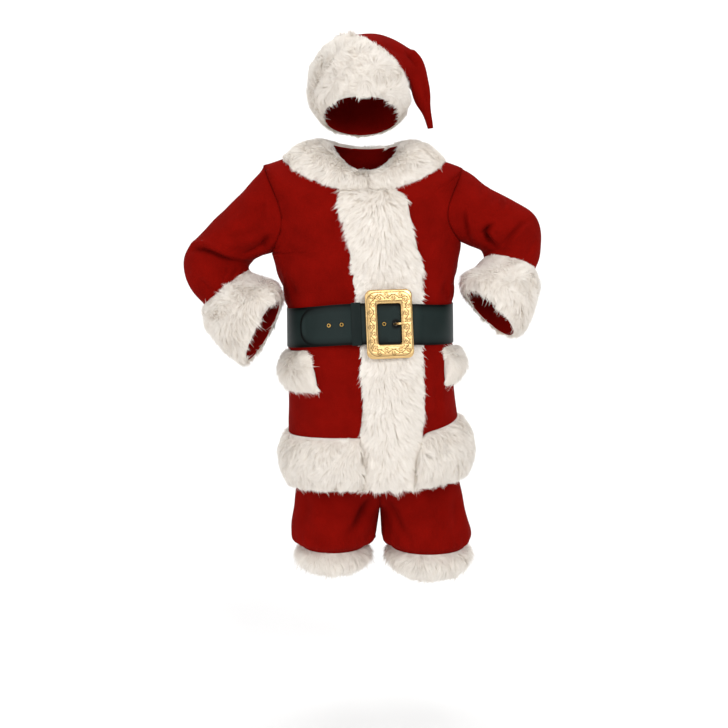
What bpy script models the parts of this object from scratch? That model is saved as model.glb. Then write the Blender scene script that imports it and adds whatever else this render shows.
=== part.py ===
"""A santa suit as it is worn: jacket, belt, knee trousers and hat.

Metres, +Z up.  The front faces -Y, the wearer's left is +X, and the origin is the
centre of the jacket's neck, where the wearer's shoulders carry it.
"""
import bpy
import bmesh
from collections import namedtuple
from math import cos, pi, radians, sin
from mathutils import Matrix, Vector

MM = 0.001
GAP = 0.3 * MM                 # between pieces that meet at a seam
WALL = 2.0 * MM                # plush cloth
STRAP = 3.5 * MM               # belt leather

# Colours are linear RGB.
PLUSH_RED = ("plush_red", (0.20, 0.006, 0.006), 0.85, 0.0)
WHITE_FUR = ("white_fur", (0.80, 0.76, 0.70), 0.90, 0.0)
BELT_LEATHER = ("belt_leather", (0.018, 0.026, 0.025), 0.45, 0.0)
GOLD = ("cast_gold", (0.80, 0.50, 0.18), 0.32, 1.0)
BRASS = ("eyelet_brass", (0.60, 0.42, 0.18), 0.40, 1.0)

# ---------------------------------------------------------------- jacket body
# One closed ring of the jacket for each row, in mm.  right and left are the
# wearer's: z_right is the height at the -X side.  in_edge, centre_front and
# out_edge are the angles, in degrees from straight ahead, of the placket's two
# edges and of the opening between them.
TorsoRow = namedtuple(
    "TorsoRow", "centre half_width front back z_right z_left z_front z_back in_edge centre_front out_edge")
BODY = [
    TorsoRow(33, 237, 170, 150, -880, -848, -860, -857, -10, 6, 23),       # hem
    TorsoRow(31, 236, 171, 149, -842, -810, -824, -820, -10, 6, 24),
    TorsoRow(28, 234, 172, 147, -806, -772, -790, -786, -10, 7, 26),
    TorsoRow(23, 231, 173, 144, -770, -731, -756, -748, -9, 8, 29),
    TorsoRow(18, 228, 174, 141, -736, -693, -722, -712, -8, 10, 32),       # top of the hem fur
    TorsoRow(14, 223, 179, 134, -632, -616, -620, -619, -5, 14, 35),       # pocket foot
    TorsoRow(12, 221, 185, 125, -590, -575, -575, -575, -6, 13, 35),
    TorsoRow(12, 221, 186, 120, -548, -534, -530, -535, -6, 13, 35),       # fullest
    TorsoRow(11, 220, 184, 117, -514, -501, -487, -500, -6, 12, 34),       # pocket head
    TorsoRow(11, 219, 182, 115, -506, -493, -479, -492, -6, 12, 34),       # belt, lower edge
    TorsoRow(10, 218, 163, 113, -404, -391, -377, -390, -7, 12, 34),       # belt, upper edge
    TorsoRow(9, 221, 160, 115, -392, -380, -366, -378, -7, 12, 34),
    TorsoRow(6, 231, 153, 120, -335, -322, -322, -330, -9, 11, 35),
    TorsoRow(3, 242, 151, 126, -292, -270, -284, -284, -9, 10, 34),
]
ARMPIT = TorsoRow(1, 250, 150, 130, -262, -233, -248, -245, -9, 9, 30)
CHEST = TorsoRow(-4, 252, 146, 125, -150, -138, -190, -155, -11, 7, 27)
SHOULDER = TorsoRow(-8, 259, 133, 115, -30, -38, -135, -75, -14, 5, 25)
YOKE = [
    TorsoRow(-6, 210, 112, 97, -14, -20, -98, -38, -16, 3, 22),            # under the collar's edge
    TorsoRow(-5, 177, 101, 90, -4, -9, -84, -22, -17, 3, 22),
    TorsoRow(-3, 145, 92, 84, 5, 1, -72, -8, -18, 2, 22),
    TorsoRow(-1, 114, 83, 77, 14, 11, -60, 3, -19, 1, 21),
    TorsoRow(0, 86, 76, 70, 22, 20, -50, 12, -20, 0, 20),                  # neck
]
SQUARE = 0.05                  # how far the rings' corners push out
ARMHOLE_STEPS = 8
ARMHOLE_OPEN = 37.0            # half the angle that the armhole takes at its widest
SIDE_STEPS = 6                 # columns from a side seam to the placket
PLACKET_STEPS = 3              # columns from the placket's edge to the opening
BACK_STEPS = 12
HALF_FRONT = SIDE_STEPS + PLACKET_STEPS
AROUND = 2 * HALF_FRONT + BACK_STEPS

ROW_HEM, ROW_HEM_TOP = 0, 4
ROW_BELT_LOW, ROW_BELT_HIGH = 9, 10
ROW_ARMPIT = len(BODY)
ROW_SHOULDER = ROW_ARMPIT + ARMHOLE_STEPS
ROW_COLLAR = ROW_SHOULDER + 1
ROW_NECK = ROW_SHOULDER + len(YOKE)


def blend_rows(low, middle, high, share):
    """A row between three, by the parabola through them."""
    wl, wm, wh = (1 - share) * (1 - 2 * share), 4 * share * (1 - share), share * (2 * share - 1)
    return TorsoRow(*(wl * a + wm * b + wh * c for a, b, c in zip(low, middle, high)))


def armhole_share(step):
    """Height of an armhole row, spaced as points round an ellipse are."""
    return (1 - cos(pi * step / ARMHOLE_STEPS)) / 2


TORSO = (BODY
         + [blend_rows(ARMPIT, CHEST, SHOULDER, armhole_share(i)) for i in range(ARMHOLE_STEPS + 1)]
         + YOKE)


def torso_point(row, angle):
    """A point of the jacket at an angle from straight ahead, + to the wearer's left."""
    ring = TORSO[row]
    side, ahead = sin(angle), cos(angle)
    corner = 1 + SQUARE * sin(2 * angle) ** 2
    depth = ring.front if ahead > 0 else ring.back
    z_side = ring.z_left if side > 0 else ring.z_right
    z_middle = ring.z_front if ahead > 0 else ring.z_back
    return Vector((ring.centre + ring.half_width * side * corner,
                   -depth * ahead * corner,
                   z_side * side * side + z_middle * ahead * ahead)) * MM


def torso_normal(row, angle):
    """Which way the jacket faces at an angle, the same for the pieces on both sides of a seam."""
    nudge = radians(4)
    across = torso_point(row, angle + nudge) - torso_point(row, angle - nudge)
    up = torso_point(min(row + 1, len(TORSO) - 1), angle) - torso_point(max(row - 1, 0), angle)
    return across.cross(up).normalized()


def armhole_half(row):
    """Half the angle that the armhole takes out of a row, in degrees."""
    step = row - ROW_ARMPIT
    return ARMHOLE_OPEN * sin(pi * step / ARMHOLE_STEPS) if 0 < step < ARMHOLE_STEPS else 0.0


def torso_angle(row, column, back=False):
    """The angle of a column: 0 the right side seam, HALF_FRONT the opening, on round the back."""
    ring = TORSO[row]
    edge = 90 - armhole_half(row)
    if back or column > 2 * HALF_FRONT:
        step = (column - 2 * HALF_FRONT) / BACK_STEPS
        return radians(180 - edge + step * 2 * edge)
    stops = [(0, -edge), (SIDE_STEPS, ring.in_edge), (HALF_FRONT, ring.centre_front),
             (HALF_FRONT + PLACKET_STEPS, ring.out_edge), (2 * HALF_FRONT, edge)]
    for (low, low_angle), (high, high_angle) in zip(stops, stops[1:]):
        if column <= high:
            return radians(low_angle + (high_angle - low_angle) * (column - low) / (high - low))


# ---------------------------------------------------------------- surfaces and solids
class Surface:
    """A grid of points in flat triangles, which pieces are cut from and laid on.

    Rows run upwards or along a limb and columns run round it.  Every quad is split along
    the same diagonal, so that what lies on the surface has its facets.
    """

    def __init__(self, rows, closed=False, flip=False, normals=None):
        self.rows = rows
        self.closed = closed
        self.height = len(rows) - 1
        self.width = len(rows[0]) - (0 if closed else 1)
        self.sign = -1 if flip else 1
        self.normals = normals or [[self._normal(i, j) for j in range(len(rows[0]))] for i in range(len(rows))]

    def _column(self, j):
        return j % self.width if self.closed else min(max(j, 0), self.width)

    def _normal(self, i, j):
        row = self.rows[i]
        across = row[self._column(j + 1)] - row[self._column(j - 1)]
        up = self.rows[min(i + 1, self.height)][j] - self.rows[max(i - 1, 0)][j]
        return (across.cross(up) * self.sign).normalized()

    def _corner(self, table, i, j):
        return table[min(i, self.height)][self._column(j)]

    def _facet(self, table, r, c):
        i = min(max(int(r), 0), self.height - 1)
        j = int(c // 1) if self.closed else min(max(int(c), 0), self.width - 1)
        s, t = r - i, c - j
        a, b = self._corner(table, i, j), self._corner(table, i + 1, j)
        d, e = self._corner(table, i, j + 1), self._corner(table, i + 1, j + 1)
        if s >= t:
            return a + (b - a) * s + (e - b) * t
        return a + (d - a) * t + (e - d) * s

    def at(self, r, c, lift=0.0):
        """The point at row r and column c, lifted off the surface."""
        return self._facet(self.rows, r, c) + self._facet(self.normals, r, c).normalized() * lift

    def sheet(self, rows, columns, lift=lambda r, c: 0.0):
        return [[self.at(r, c, lift(r, c)) for c in columns] for r in rows]


def solid(name, outer, inner, finish, closed=False, capped=False):
    """A closed solid between two grids of points, the outer one's faces pointing out."""
    mesh = bmesh.new()
    top = [[mesh.verts.new(p) for p in row] for row in outer]
    low = [[mesh.verts.new(p) for p in row] for row in inner]
    height, width = len(outer), len(outer[0])
    columns = range(width if closed else width - 1)

    def quad(a, b, c, d):
        mesh.faces.new((a, b, c))
        mesh.faces.new((a, c, d))

    for i in range(height - 1):
        for j in columns:
            k = (j + 1) % width
            quad(top[i][j], top[i + 1][j], top[i + 1][k], top[i][k])
            quad(low[i][j], low[i][k], low[i + 1][k], low[i + 1][j])
    for j in columns:
        k = (j + 1) % width
        quad(top[0][j], top[0][k], low[0][k], low[0][j])
        if not capped:
            quad(top[-1][j], low[-1][j], low[-1][k], top[-1][k])
    if capped:
        for ring in (top[-1], low[-1]):
            mesh.faces.new(ring)
    if not closed:
        for i in range(height - 1):
            quad(top[i][0], low[i][0], low[i + 1][0], top[i + 1][0])
            quad(top[i][-1], top[i + 1][-1], low[i + 1][-1], low[i][-1])
    bmesh.ops.recalc_face_normals(mesh, faces=mesh.faces)
    return finished(name, mesh, finish)


def finished(name, mesh, finish, smooth_below=40):
    """Puts a bmesh in the scene as an object with its material."""
    data = bpy.data.meshes.new(name)
    mesh.to_mesh(data)
    mesh.free()
    data.shade_smooth()
    data.set_sharp_from_angle(angle=radians(smooth_below))
    data.materials.append(material(*finish))
    piece = bpy.data.objects.new(name, data)
    bpy.context.scene.collection.objects.link(piece)
    return piece


def material(name, colour, roughness, metallic):
    """The named material, made the first time that it is asked for."""
    made = bpy.data.materials.get(name)
    if made is None:
        made = bpy.data.materials.new(name)
        made.use_nodes = True
        shader = made.node_tree.nodes["Principled BSDF"]
        shader.inputs["Base Color"].default_value = (*colour, 1.0)
        shader.inputs["Roughness"].default_value = roughness
        shader.inputs["Metallic"].default_value = metallic
    return made


def between(low, high, steps):
    return [low + (high - low) * i / steps for i in range(steps + 1)]


def eased(value, table):
    """Reads a table of (position, height) pairs along straight lines."""
    if value <= table[0][0]:
        return table[0][1]
    for (a, low), (b, high) in zip(table, table[1:]):
        if value <= b:
            return low + (high - low) * (value - a) / (b - a)
    return table[-1][1]


# ---------------------------------------------------------------- jacket
def torso_surface(first_row, last_row, columns, back=False, closed=False):
    rows = range(first_row, last_row + 1)
    return Surface([[torso_point(r, torso_angle(r, c, back)) for c in columns] for r in rows], closed,
                   normals=[[torso_normal(r, torso_angle(r, c, back)) for c in columns] for r in rows])


FRONT = torso_surface(0, ROW_NECK, range(2 * HALF_FRONT + 1))
BACK = torso_surface(0, ROW_NECK, range(2 * HALF_FRONT, AROUND + 1), back=True)
RING = torso_surface(0, ROW_ARMPIT, range(AROUND), closed=True)
SHOULDERS = torso_surface(ROW_COLLAR, ROW_NECK, range(AROUND), closed=True)

PLACKET_FROM, PLACKET_TO = SIDE_STEPS, HALF_FRONT + PLACKET_STEPS
# Height of the fur over the cloth, in mm, by row.
PLACKET_HEIGHT = [(0, 16), (1, 32), (2, 36), (4, 32), (6, 26), (7, 12), (8, 5), (9, 4), (10, 4),
                  (11, 5), (12, 10), (13, 26), (ROW_SHOULDER, 28), (ROW_COLLAR, 20)]
PLACKET_EDGE = 0.28            # share of that height at the band's two long edges
HEM_HEIGHT = [(0, 14), (1, 31), (2, 36), (3, 32), (4, 9)]
COLLAR_HEIGHT = [(0, 10), (1, 27), (2, 31), (3, 28), (4, 10)]
# Each pocket's fur: its rows from the foot up, with the columns where it starts and ends
# there and its height in mm, and the share of that height across those columns.
PocketRow = namedtuple("PocketRow", "row start end height")
POCKETS = {
    "right": ([PocketRow(5.45, 0.8, 3.75, 12), PocketRow(6, 0.15, 3.8, 32), PocketRow(7, 0.02, 3.6, 40),
               PocketRow(8, 0.4, 3.1, 14)], (0.45, 1.0, 0.95, 0.75, 0.3)),
    "left": ([PocketRow(5.5, 14.5, 17.3, 12), PocketRow(6, 14.3, 17.9, 36), PocketRow(7, 14.25, 17.98, 46),
              PocketRow(8, 14.5, 17.7, 16)], (0.3, 0.75, 0.95, 1.0, 0.5)),
}


def panel(name, surface, first, last, rows):
    """A cloth panel between two columns, held back from both seams by half a gap."""
    def columns(r):
        inner = list(range(first, last + 1))
        inner[0] = first + GAP / 2 / (surface.at(r, first + 1) - surface.at(r, first)).length
        inner[-1] = last - GAP / 2 / (surface.at(r, last) - surface.at(r, last - 1)).length
        return inner
    outer = [[surface.at(r, c) for c in columns(r)] for r in rows]
    inner = [[surface.at(r, c, -WALL) for c in columns(r)] for r in rows]
    return solid(name, outer, inner, PLUSH_RED)


def trim(name, surface, rows, columns, lift, finish=WHITE_FUR, closed=False, base=GAP):
    """A piece that lies on a surface, made from its points moved out."""
    return solid(name, surface.sheet(rows, columns, lift),
                 surface.sheet(rows, columns, lambda r, c: base), finish, closed)


def jacket():
    rows = range(ROW_NECK + 1)
    panel("jacket_front_right", FRONT, 0, HALF_FRONT, rows)
    panel("jacket_front_left", FRONT, HALF_FRONT, 2 * HALF_FRONT, rows)
    panel("jacket_back", BACK, 0, BACK_STEPS, rows)

    def across(c, low, high):
        """0 at a band's long edges and 1 along its middle."""
        return sin(pi * (c - low) / (high - low))

    def placket_lift(r, c):
        share = PLACKET_EDGE + (1 - PLACKET_EDGE) * across(c, PLACKET_FROM, PLACKET_TO) ** 0.5
        return eased(r, PLACKET_HEIGHT) * MM * (share if r not in (ROW_BELT_LOW, ROW_BELT_HIGH) else 1)

    top = ROW_COLLAR - GAP / (FRONT.at(ROW_COLLAR, HALF_FRONT) - FRONT.at(ROW_SHOULDER, HALF_FRONT)).length
    trim("placket_fur", FRONT, [*range(ROW_COLLAR), top], between(PLACKET_FROM, PLACKET_TO, 2 * PLACKET_STEPS),
         placket_lift)

    side_gap = 0.012                                   # columns: a gap beside the placket
    hem_columns = [PLACKET_TO + side_gap, *range(PLACKET_TO + 1, AROUND + PLACKET_FROM),
                   AROUND + PLACKET_FROM - side_gap]
    trim("hem_fur", RING, range(ROW_HEM, ROW_HEM_TOP + 1), hem_columns,
         lambda r, c: eased(r, HEM_HEIGHT) * MM)

    collar_columns = [HALF_FRONT + side_gap, *range(HALF_FRONT + 1, AROUND + HALF_FRONT),
                      AROUND + HALF_FRONT - side_gap]
    trim("collar_fur", SHOULDERS, range(len(YOKE)), collar_columns,
         lambda r, c: eased(r, COLLAR_HEIGHT) * MM)

    for side, (rows, shares) in POCKETS.items():
        pocket = []
        for row in rows:
            columns = [row.start, *range(int(row.start) + 1, int(row.end) + 1), row.end]
            pocket.append([(row.row, c, row.height * share * MM) for c, share in zip(columns, shares)])
        solid("pocket_fur_" + side, [[FRONT.at(*spot) for spot in line] for line in pocket],
              [[FRONT.at(r, c, 2 * GAP) for r, c, _ in line] for line in pocket], WHITE_FUR)


# ---------------------------------------------------------------- sleeves
# Rings of each sleeve in mm: the two ends seen from the front (the outer one runs
# from the shoulder over the elbow, the inner one from the armpit), how far back the
# ring's centre lies, half its depth, and how far along the sleeve its front leans.
SleeveRow = namedtuple("SleeveRow", "outer_x outer_z inner_x inner_z y depth lean", defaults=(0,))
RIGHT_ARM = [
    SleeveRow(-288, -61, -258, -265, 2, 98),
    SleeveRow(-316, -88, -263, -266, 5, 97),
    SleeveRow(-351, -122, -270, -267, 9, 95),
    SleeveRow(-390, -160, -277, -269, 13, 93),
    SleeveRow(-428, -196, -284, -271, 17, 91),
    SleeveRow(-470, -238, -291, -275, 20, 90),
    SleeveRow(-490, -277, -298, -280, 21, 88),
    SleeveRow(-487, -317, -304, -286, 18, 85, 4),
    SleeveRow(-471, -359, -310, -293, 12, 80, 16),
    SleeveRow(-430, -398, -310, -302, 2, 70, 34),  # where the cuff starts
]
RIGHT_CUFF = [SleeveRow(-380, -457, -268, -336, -53, 67, 26), SleeveRow(-307, -531, -225, -371, -108, 66, 20)]
LEFT_ARM = [
    SleeveRow(279, -53, 263, -238, 2, 94),
    SleeveRow(310, -81, 272, -243, 5, 92),
    SleeveRow(348, -100, 282, -247, 8, 90),
    SleeveRow(389, -118, 290, -250, 12, 88),
    SleeveRow(427, -140, 297, -253, 15, 86),
    SleeveRow(455, -166, 302, -256, 17, 85),
    SleeveRow(468, -205, 306, -259, 18, 84),
    SleeveRow(467, -246, 309, -262, 15, 82),
    SleeveRow(461, -282, 312, -267, 9, 78, 4),
    SleeveRow(446, -309, 312, -272, -1, 68, 10),   # where the cuff starts
]
LEFT_CUFF = [SleeveRow(414, -390, 284, -314, -40, 68, 12), SleeveRow(381, -469, 263, -349, -82, 66, 16)]
CUFF_STEPS = 5
SLEEVE_POINTS = 2 * ARMHOLE_STEPS
# Height of the cuff's fur in mm along it.  Two shares of that: the wearer's body presses
# the fur behind the wrist, and the bent elbow presses it where the cuff starts.
CUFF_HEIGHT = [(0, 5), (1, 30), (2, 35), (3, 36), (4, 35), (5, 24)]
CUFF_BODY_SIDE = 0.3
CUFF_ELBOW_SIDE = [(0, 0.3), (1, 0.13), (2, 0.42), (3, 0.85), (4, 1.0)]


def blend_sleeve(start, middle, mouth, share):
    ws, wm, we = (1 - share) * (1 - 2 * share), 4 * share * (1 - share), share * (2 * share - 1)
    return SleeveRow(*(ws * a + wm * b + we * c for a, b, c in zip(start, middle, mouth)))


def armhole_loop(side):
    """The armhole's edge from the shoulder down the front and up the back.

    Gives each point, a gap inside the panels' edge, with the way out of the cloth
    there and the way from the hole to the panel.
    """
    front_column = 0 if side == "right" else 2 * HALF_FRONT
    back_column = BACK_STEPS if side == "right" else 0
    rows = range(ROW_ARMPIT, ROW_SHOULDER + 1)
    spots = [(FRONT, r, front_column) for r in reversed(rows)] + [(BACK, r, back_column) for r in rows][1:-1]
    edge = [surface.at(r, c) for surface, r, c in spots]
    outward = [surface.normals[r][c] for surface, r, c in spots]
    middle = sum(edge, Vector()) / len(edge)
    loop, aside = [], []
    for k, point in enumerate(edge):
        away = outward[k].cross(edge[(k + 1) % len(edge)] - edge[k - 1]).normalized()
        away = -away if away.dot(middle - point) > 0 else away
        aside.append(away)
        loop.append(point - away * GAP)
    return loop, outward, aside


def limb_rings(table, points, start_centre=None):
    """Rings through each row's two ends, square to the limb's run but for their lean."""
    centres = [Vector((r.outer_x + r.inner_x, 2 * r.y, r.outer_z + r.inner_z)) * MM / 2 for r in table]
    path = ([start_centre] if start_centre else [centres[0]]) + centres + [centres[-1]]
    rings = []
    for k, row in enumerate(table):
        half = Vector((row.outer_x - row.inner_x, 0, row.outer_z - row.inner_z)) * MM / 2
        run = path[k + 2] - path[k]
        front = run.cross(half).normalized()
        front = (front if front.y < 0 else -front) * row.depth * MM
        onward = Vector((half.z, 0, -half.x)).normalized()
        front += (onward if onward.dot(run) > 0 else -onward) * row.lean * MM
        rings.append([centres[k] + half * cos(2 * pi * j / points) + front * sin(2 * pi * j / points)
                      for j in range(points)])
    return rings


def sleeve_surface(side, arm, cuff):
    """The sleeve from its seam, turned in by half the cloth's thickness, to the cuff's mouth."""
    table = arm + [blend_sleeve(arm[-1], *cuff, k / CUFF_STEPS) for k in range(1, CUFF_STEPS + 1)]
    loop, outward, aside = armhole_loop(side)
    seam = [point - out * WALL / 2 - away * 3 * GAP for point, out, away in zip(loop, outward, aside)]
    rings = limb_rings(table, SLEEVE_POINTS, sum(loop, Vector()) / len(loop))
    surface = Surface([seam, loop] + rings, closed=True, flip=side == "right")
    surface.normals[0] = aside
    surface.normals[1] = [(a + n).normalized() for a, n in zip(aside, surface.normals[1])]
    return surface


def sleeves():
    for side, arm, cuff in (("right", RIGHT_ARM, RIGHT_CUFF), ("left", LEFT_ARM, LEFT_CUFF)):
        surface = sleeve_surface(side, arm, cuff)
        rows, columns = range(surface.height + 1), range(SLEEVE_POINTS)
        solid("sleeve_" + side, surface.sheet(rows, columns), surface.sheet(rows, columns, lambda r, c: -WALL),
              PLUSH_RED, closed=True)
        start = len(arm) + 1

        def cuff_lift(r, c, start=start):
            turn = 2 * pi * c / SLEEVE_POINTS
            behind = max(0.0, -sin(turn)) * (r - start) / CUFF_STEPS
            inside = max(0.0, -cos(turn)) ** 0.5
            share = (1 - (1 - CUFF_BODY_SIDE) * behind) * (1 - (1 - eased(r - start, CUFF_ELBOW_SIDE)) * inside)
            return eased(r - start, CUFF_HEIGHT) * MM * share
        trim("cuff_fur_" + side, surface, range(start, surface.height + 1), columns, cuff_lift, closed=True)


# ---------------------------------------------------------------- belt and buckle
# The strap starts at the buckle's rear bar, runs round by the wearer's right side and
# the back, passes behind the buckle and ends over its own start.  Positions along it
# are columns of the jacket, one whole round lower on the second lap.
STRAP_START = 6.45
STRAP_TIP = 2.9 - AROUND
FIRST_LAP_LIFT = [(-AROUND, 0.3), (4.0, 0.3), (4.9, 5.8), (5.4, 7.8), (6.5, 7.8)]
SECOND_LAP_LIFT = [(4.0, 4.4), (4.9, 9.7), (5.4, 11.7), (6.2, 11.9), (6.5, 14.6), (11.6, 14.6), (12.0, 11.0),
                   (12.4, 5.6), (13.0, 0.3), (AROUND, 0.3)]
TIP_ROUND = [(0, 0.2), (2, 0.34), (5, 0.5), (10, 0.66), (18, 0.82), (30, 0.94), (50, 1.0)]   # mm, share of height
KEEPER_FROM, KEEPER_TO = 5.62, 6.12
KEEPER_WALL = 2.6 * MM
KEEPER_OVERHANG = 0.035        # rows that the loop stands past the strap's edges
BELT_MIDDLE = (ROW_BELT_LOW + ROW_BELT_HIGH) / 2

BUCKLE_WIDTH, BUCKLE_HEIGHT, BUCKLE_DEPTH = 120 * MM, 174 * MM, 10 * MM
WINDOW_WIDTH, WINDOW_HEIGHT = 60 * MM, 102 * MM
BUCKLE_LIFT = 12.4 * MM        # its back, over the cloth at the jacket's opening
BUCKLE_ROLL = radians(2.4)
# Rings round the frame's section: grown from the outer edge (or, where inner, from the
# window), corner radius and depth, in mm.
FrameRing = namedtuple("FrameRing", "inner grow corner depth")
FRAME_RINGS = [
    FrameRing(False, -1.5, 15, 0.0), FrameRing(False, 0.0, 16, 1.8), FrameRing(False, 0.0, 16, 6.0),
    FrameRing(False, -2.5, 14, 8.6), FrameRing(False, -12.0, 9, 10.0), FrameRing(True, 6.0, 7, 9.6),
    FrameRing(True, 1.8, 6, 8.0), FrameRing(True, 0.0, 5, 5.5), FrameRing(True, 0.0, 5, 0.0),
]
CORNER_STEPS = 4
BAR_X, BAR_WIDTH, BAR_BACK, BAR_FRONT = -50 * MM, 6 * MM, -9.1 * MM, -4.1 * MM
POST_Z, POST_SIZE = 59.5 * MM, 7 * MM
PRONG_WIDTH, PRONG_THICK = 6 * MM, 4 * MM
PRONG_PATH = [(-46.7, -6.2), (12, -6.2), (15.6, -5.2), (19.5, 1), (24.5, 9.4), (30.5, 12.5), (45, 12.5)]   # mm
PRONG_HOLE = (17.2 * MM, 5.6 * MM)                 # where, across the buckle, and radius
EYELETS = {"eyelet_1": -150, "eyelet_2": -118, "eyelet_3": -14}        # mm across the buckle
EYELET_OUTER, EYELET_INNER, EYELET_HIGH = 5.5 * MM, 2.6 * MM, 1.6 * MM
EYELET_SEAT = 0.5 * MM
EYELET_SIDES = 12


def buckle_frame():
    """The matrix that puts the buckle on the belt: X across, Z up, -Y out, back at Y = 0."""
    left, right = RING.at(BELT_MIDDLE, HALF_FRONT - 2.6), RING.at(BELT_MIDDLE, HALF_FRONT + 2.6)
    across = (right - left).normalized()
    up = (RING.at(ROW_BELT_HIGH, HALF_FRONT) - RING.at(ROW_BELT_LOW, HALF_FRONT)).normalized()
    out = across.cross(up).normalized()
    up = out.cross(across)
    turned = Matrix((across, -out, up)).transposed().to_4x4()
    centre = RING.at(BELT_MIDDLE, HALF_FRONT) + out * BUCKLE_LIFT
    return Matrix.Translation(centre) @ turned @ Matrix.Rotation(-BUCKLE_ROLL, 4, "Y")


def rounded_rectangle(half_width, half_height, corner):
    loop = []
    for quarter, (sx, sz) in enumerate(((1, 1), (-1, 1), (-1, -1), (1, -1))):
        for step in range(CORNER_STEPS + 1):
            turn = (quarter + step / CORNER_STEPS) * pi / 2
            loop.append((sx * (half_width - corner) + corner * cos(turn),
                         sz * (half_height - corner) + corner * sin(turn)))
    return loop


def ring_of_loops(name, loops, finish, closed=True):
    """A solid whose section runs through the loops and, where closed, back to the first."""
    mesh = bmesh.new()
    rings = [[mesh.verts.new(p) for p in loop] for loop in loops]
    pairs = list(zip(rings, rings[1:] + rings[:1])) if closed else list(zip(rings, rings[1:]))
    for low, high in pairs:
        for j in range(len(low)):
            k = (j + 1) % len(low)
            mesh.faces.new((low[j], low[k], high[k], high[j]))
    if not closed:
        mesh.faces.new(rings[0])
        mesh.faces.new(rings[-1])
    bmesh.ops.recalc_face_normals(mesh, faces=mesh.faces)
    return finished(name, mesh, finish, 30)


def block(name, centre, size, finish=GOLD):
    mesh = bmesh.new()
    bmesh.ops.create_cube(mesh, size=1.0)
    bmesh.ops.scale(mesh, vec=size, verts=mesh.verts)
    bmesh.ops.translate(mesh, vec=centre, verts=mesh.verts)
    return finished(name, mesh, finish)


def boolean(piece, tool, operation):
    step = piece.modifiers.new(operation.lower(), "BOOLEAN")
    step.operation = operation
    step.solver = "EXACT"
    step.object = tool
    tool.hide_render = True
    tool.display_type = "WIRE"


def buckle(place):
    loops = []
    for ring in FRAME_RINGS:
        width, height = (WINDOW_WIDTH, WINDOW_HEIGHT) if ring.inner else (BUCKLE_WIDTH, BUCKLE_HEIGHT)
        grow = ring.grow * MM
        outline = rounded_rectangle(width / 2 + grow, height / 2 + grow, ring.corner * MM)
        loops.append([Vector((x, -ring.depth * MM, z)) for x, z in outline])
    frame = ring_of_loops("belt_buckle", loops, GOLD)
    frame.matrix_world = place
    bar_depth = (BAR_BACK + BAR_FRONT) / 2
    parts = [("buckle_bar_tool", (BAR_X, -bar_depth, 0), (BAR_WIDTH, BAR_FRONT - BAR_BACK, 2 * POST_Z))]
    post_depth = BAR_BACK - 2 * MM
    for sign, side in ((-1, "low"), (1, "high")):
        parts.append(("buckle_post_tool_" + side, (BAR_X, -post_depth / 2 - 2 * MM, sign * POST_Z),
                      (BAR_WIDTH, -post_depth, POST_SIZE)))
    for name, centre, size in parts:
        tool = block(name, centre, size)
        tool.matrix_world = place
        boolean(frame, tool, "UNION")


def prong(place):
    """The flat tongue, from the rear bar through the strap's hole onto the frame."""
    path = [Vector((x, -depth, 0)) * MM for x, depth in PRONG_PATH]
    ends = [path[0] * 2 - path[1]] + path + [path[-1] * 2 - path[-2]]
    loops = []
    for before, point, after in zip(ends, path, ends[2:]):
        run = (after - before).normalized()
        thick = Vector((run.y, -run.x, 0)) * PRONG_THICK / 2
        wide = Vector((0, 0, PRONG_WIDTH / 2))
        loops.append([point + thick + wide, point - thick + wide, point - thick - wide, point + thick - wide])
    ring_of_loops("buckle_prong", loops, GOLD, closed=False).matrix_world = place


def strap_lift(position, row, place):
    """Height of the strap's back over the cloth, flat against the buckle as it passes it."""
    if position > -AROUND / 2:
        return eased(position, FIRST_LAP_LIFT) * MM
    column = position + AROUND
    if 6.5 <= column <= 11.6:
        point = RING.at(row, column)
        out = RING.at(row, column, 1.0) - point
        plane = place.to_3x3() @ Vector((0, -1, 0))
        return (place.translation - point).dot(plane) / out.dot(plane) - GAP - STRAP
    return eased(column, SECOND_LAP_LIFT) * MM


def belt(place):
    second_lap = (2.9, 2.94, 3, 3.1, 3.25, 3.5, 4, 4.9, 5.4, 5.8, 6.2, 6.5, 7, 7.5, 8, 8.5, 9, 9.5, 10, 10.5,
                  11, 11.6, 12, 12.4, 13, 14, 15, 16, 17)
    stations = [p - AROUND for p in second_lap] + list(range(-12, 5)) + [4.9, 5.4, 5.8, 6.2, STRAP_START]
    low, high = [[], []], [[], []]
    tip = RING.at(BELT_MIDDLE, STRAP_TIP)
    for position in stations:
        from_tip = (RING.at(BELT_MIDDLE, position) - tip).length / MM if position < 4 - AROUND else 99
        half = eased(from_tip, TIP_ROUND) / 2
        for edge, row in ((low, BELT_MIDDLE - half), (high, BELT_MIDDLE + half)):
            base = strap_lift(position, row, place)
            edge[0].append(RING.at(row, position, base + STRAP))
            edge[1].append(RING.at(row, position, base))
    strap = solid("belt_strap", [low[0], high[0]], [low[1], high[1]], BELT_LEATHER)
    mesh = bmesh.new()
    bmesh.ops.create_cone(mesh, cap_ends=True, segments=16, radius1=PRONG_HOLE[1], radius2=PRONG_HOLE[1],
                          depth=8 * MM, matrix=Matrix.Rotation(pi / 2, 4, "X"))
    bmesh.ops.translate(mesh, vec=(PRONG_HOLE[0], 2 * MM, 0), verts=mesh.verts)
    hole = finished("hole_tool", mesh, BELT_LEATHER)
    hole.matrix_world = place
    boolean(strap, hole, "DIFFERENCE")
    keeper()
    eyelets(place)


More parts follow.
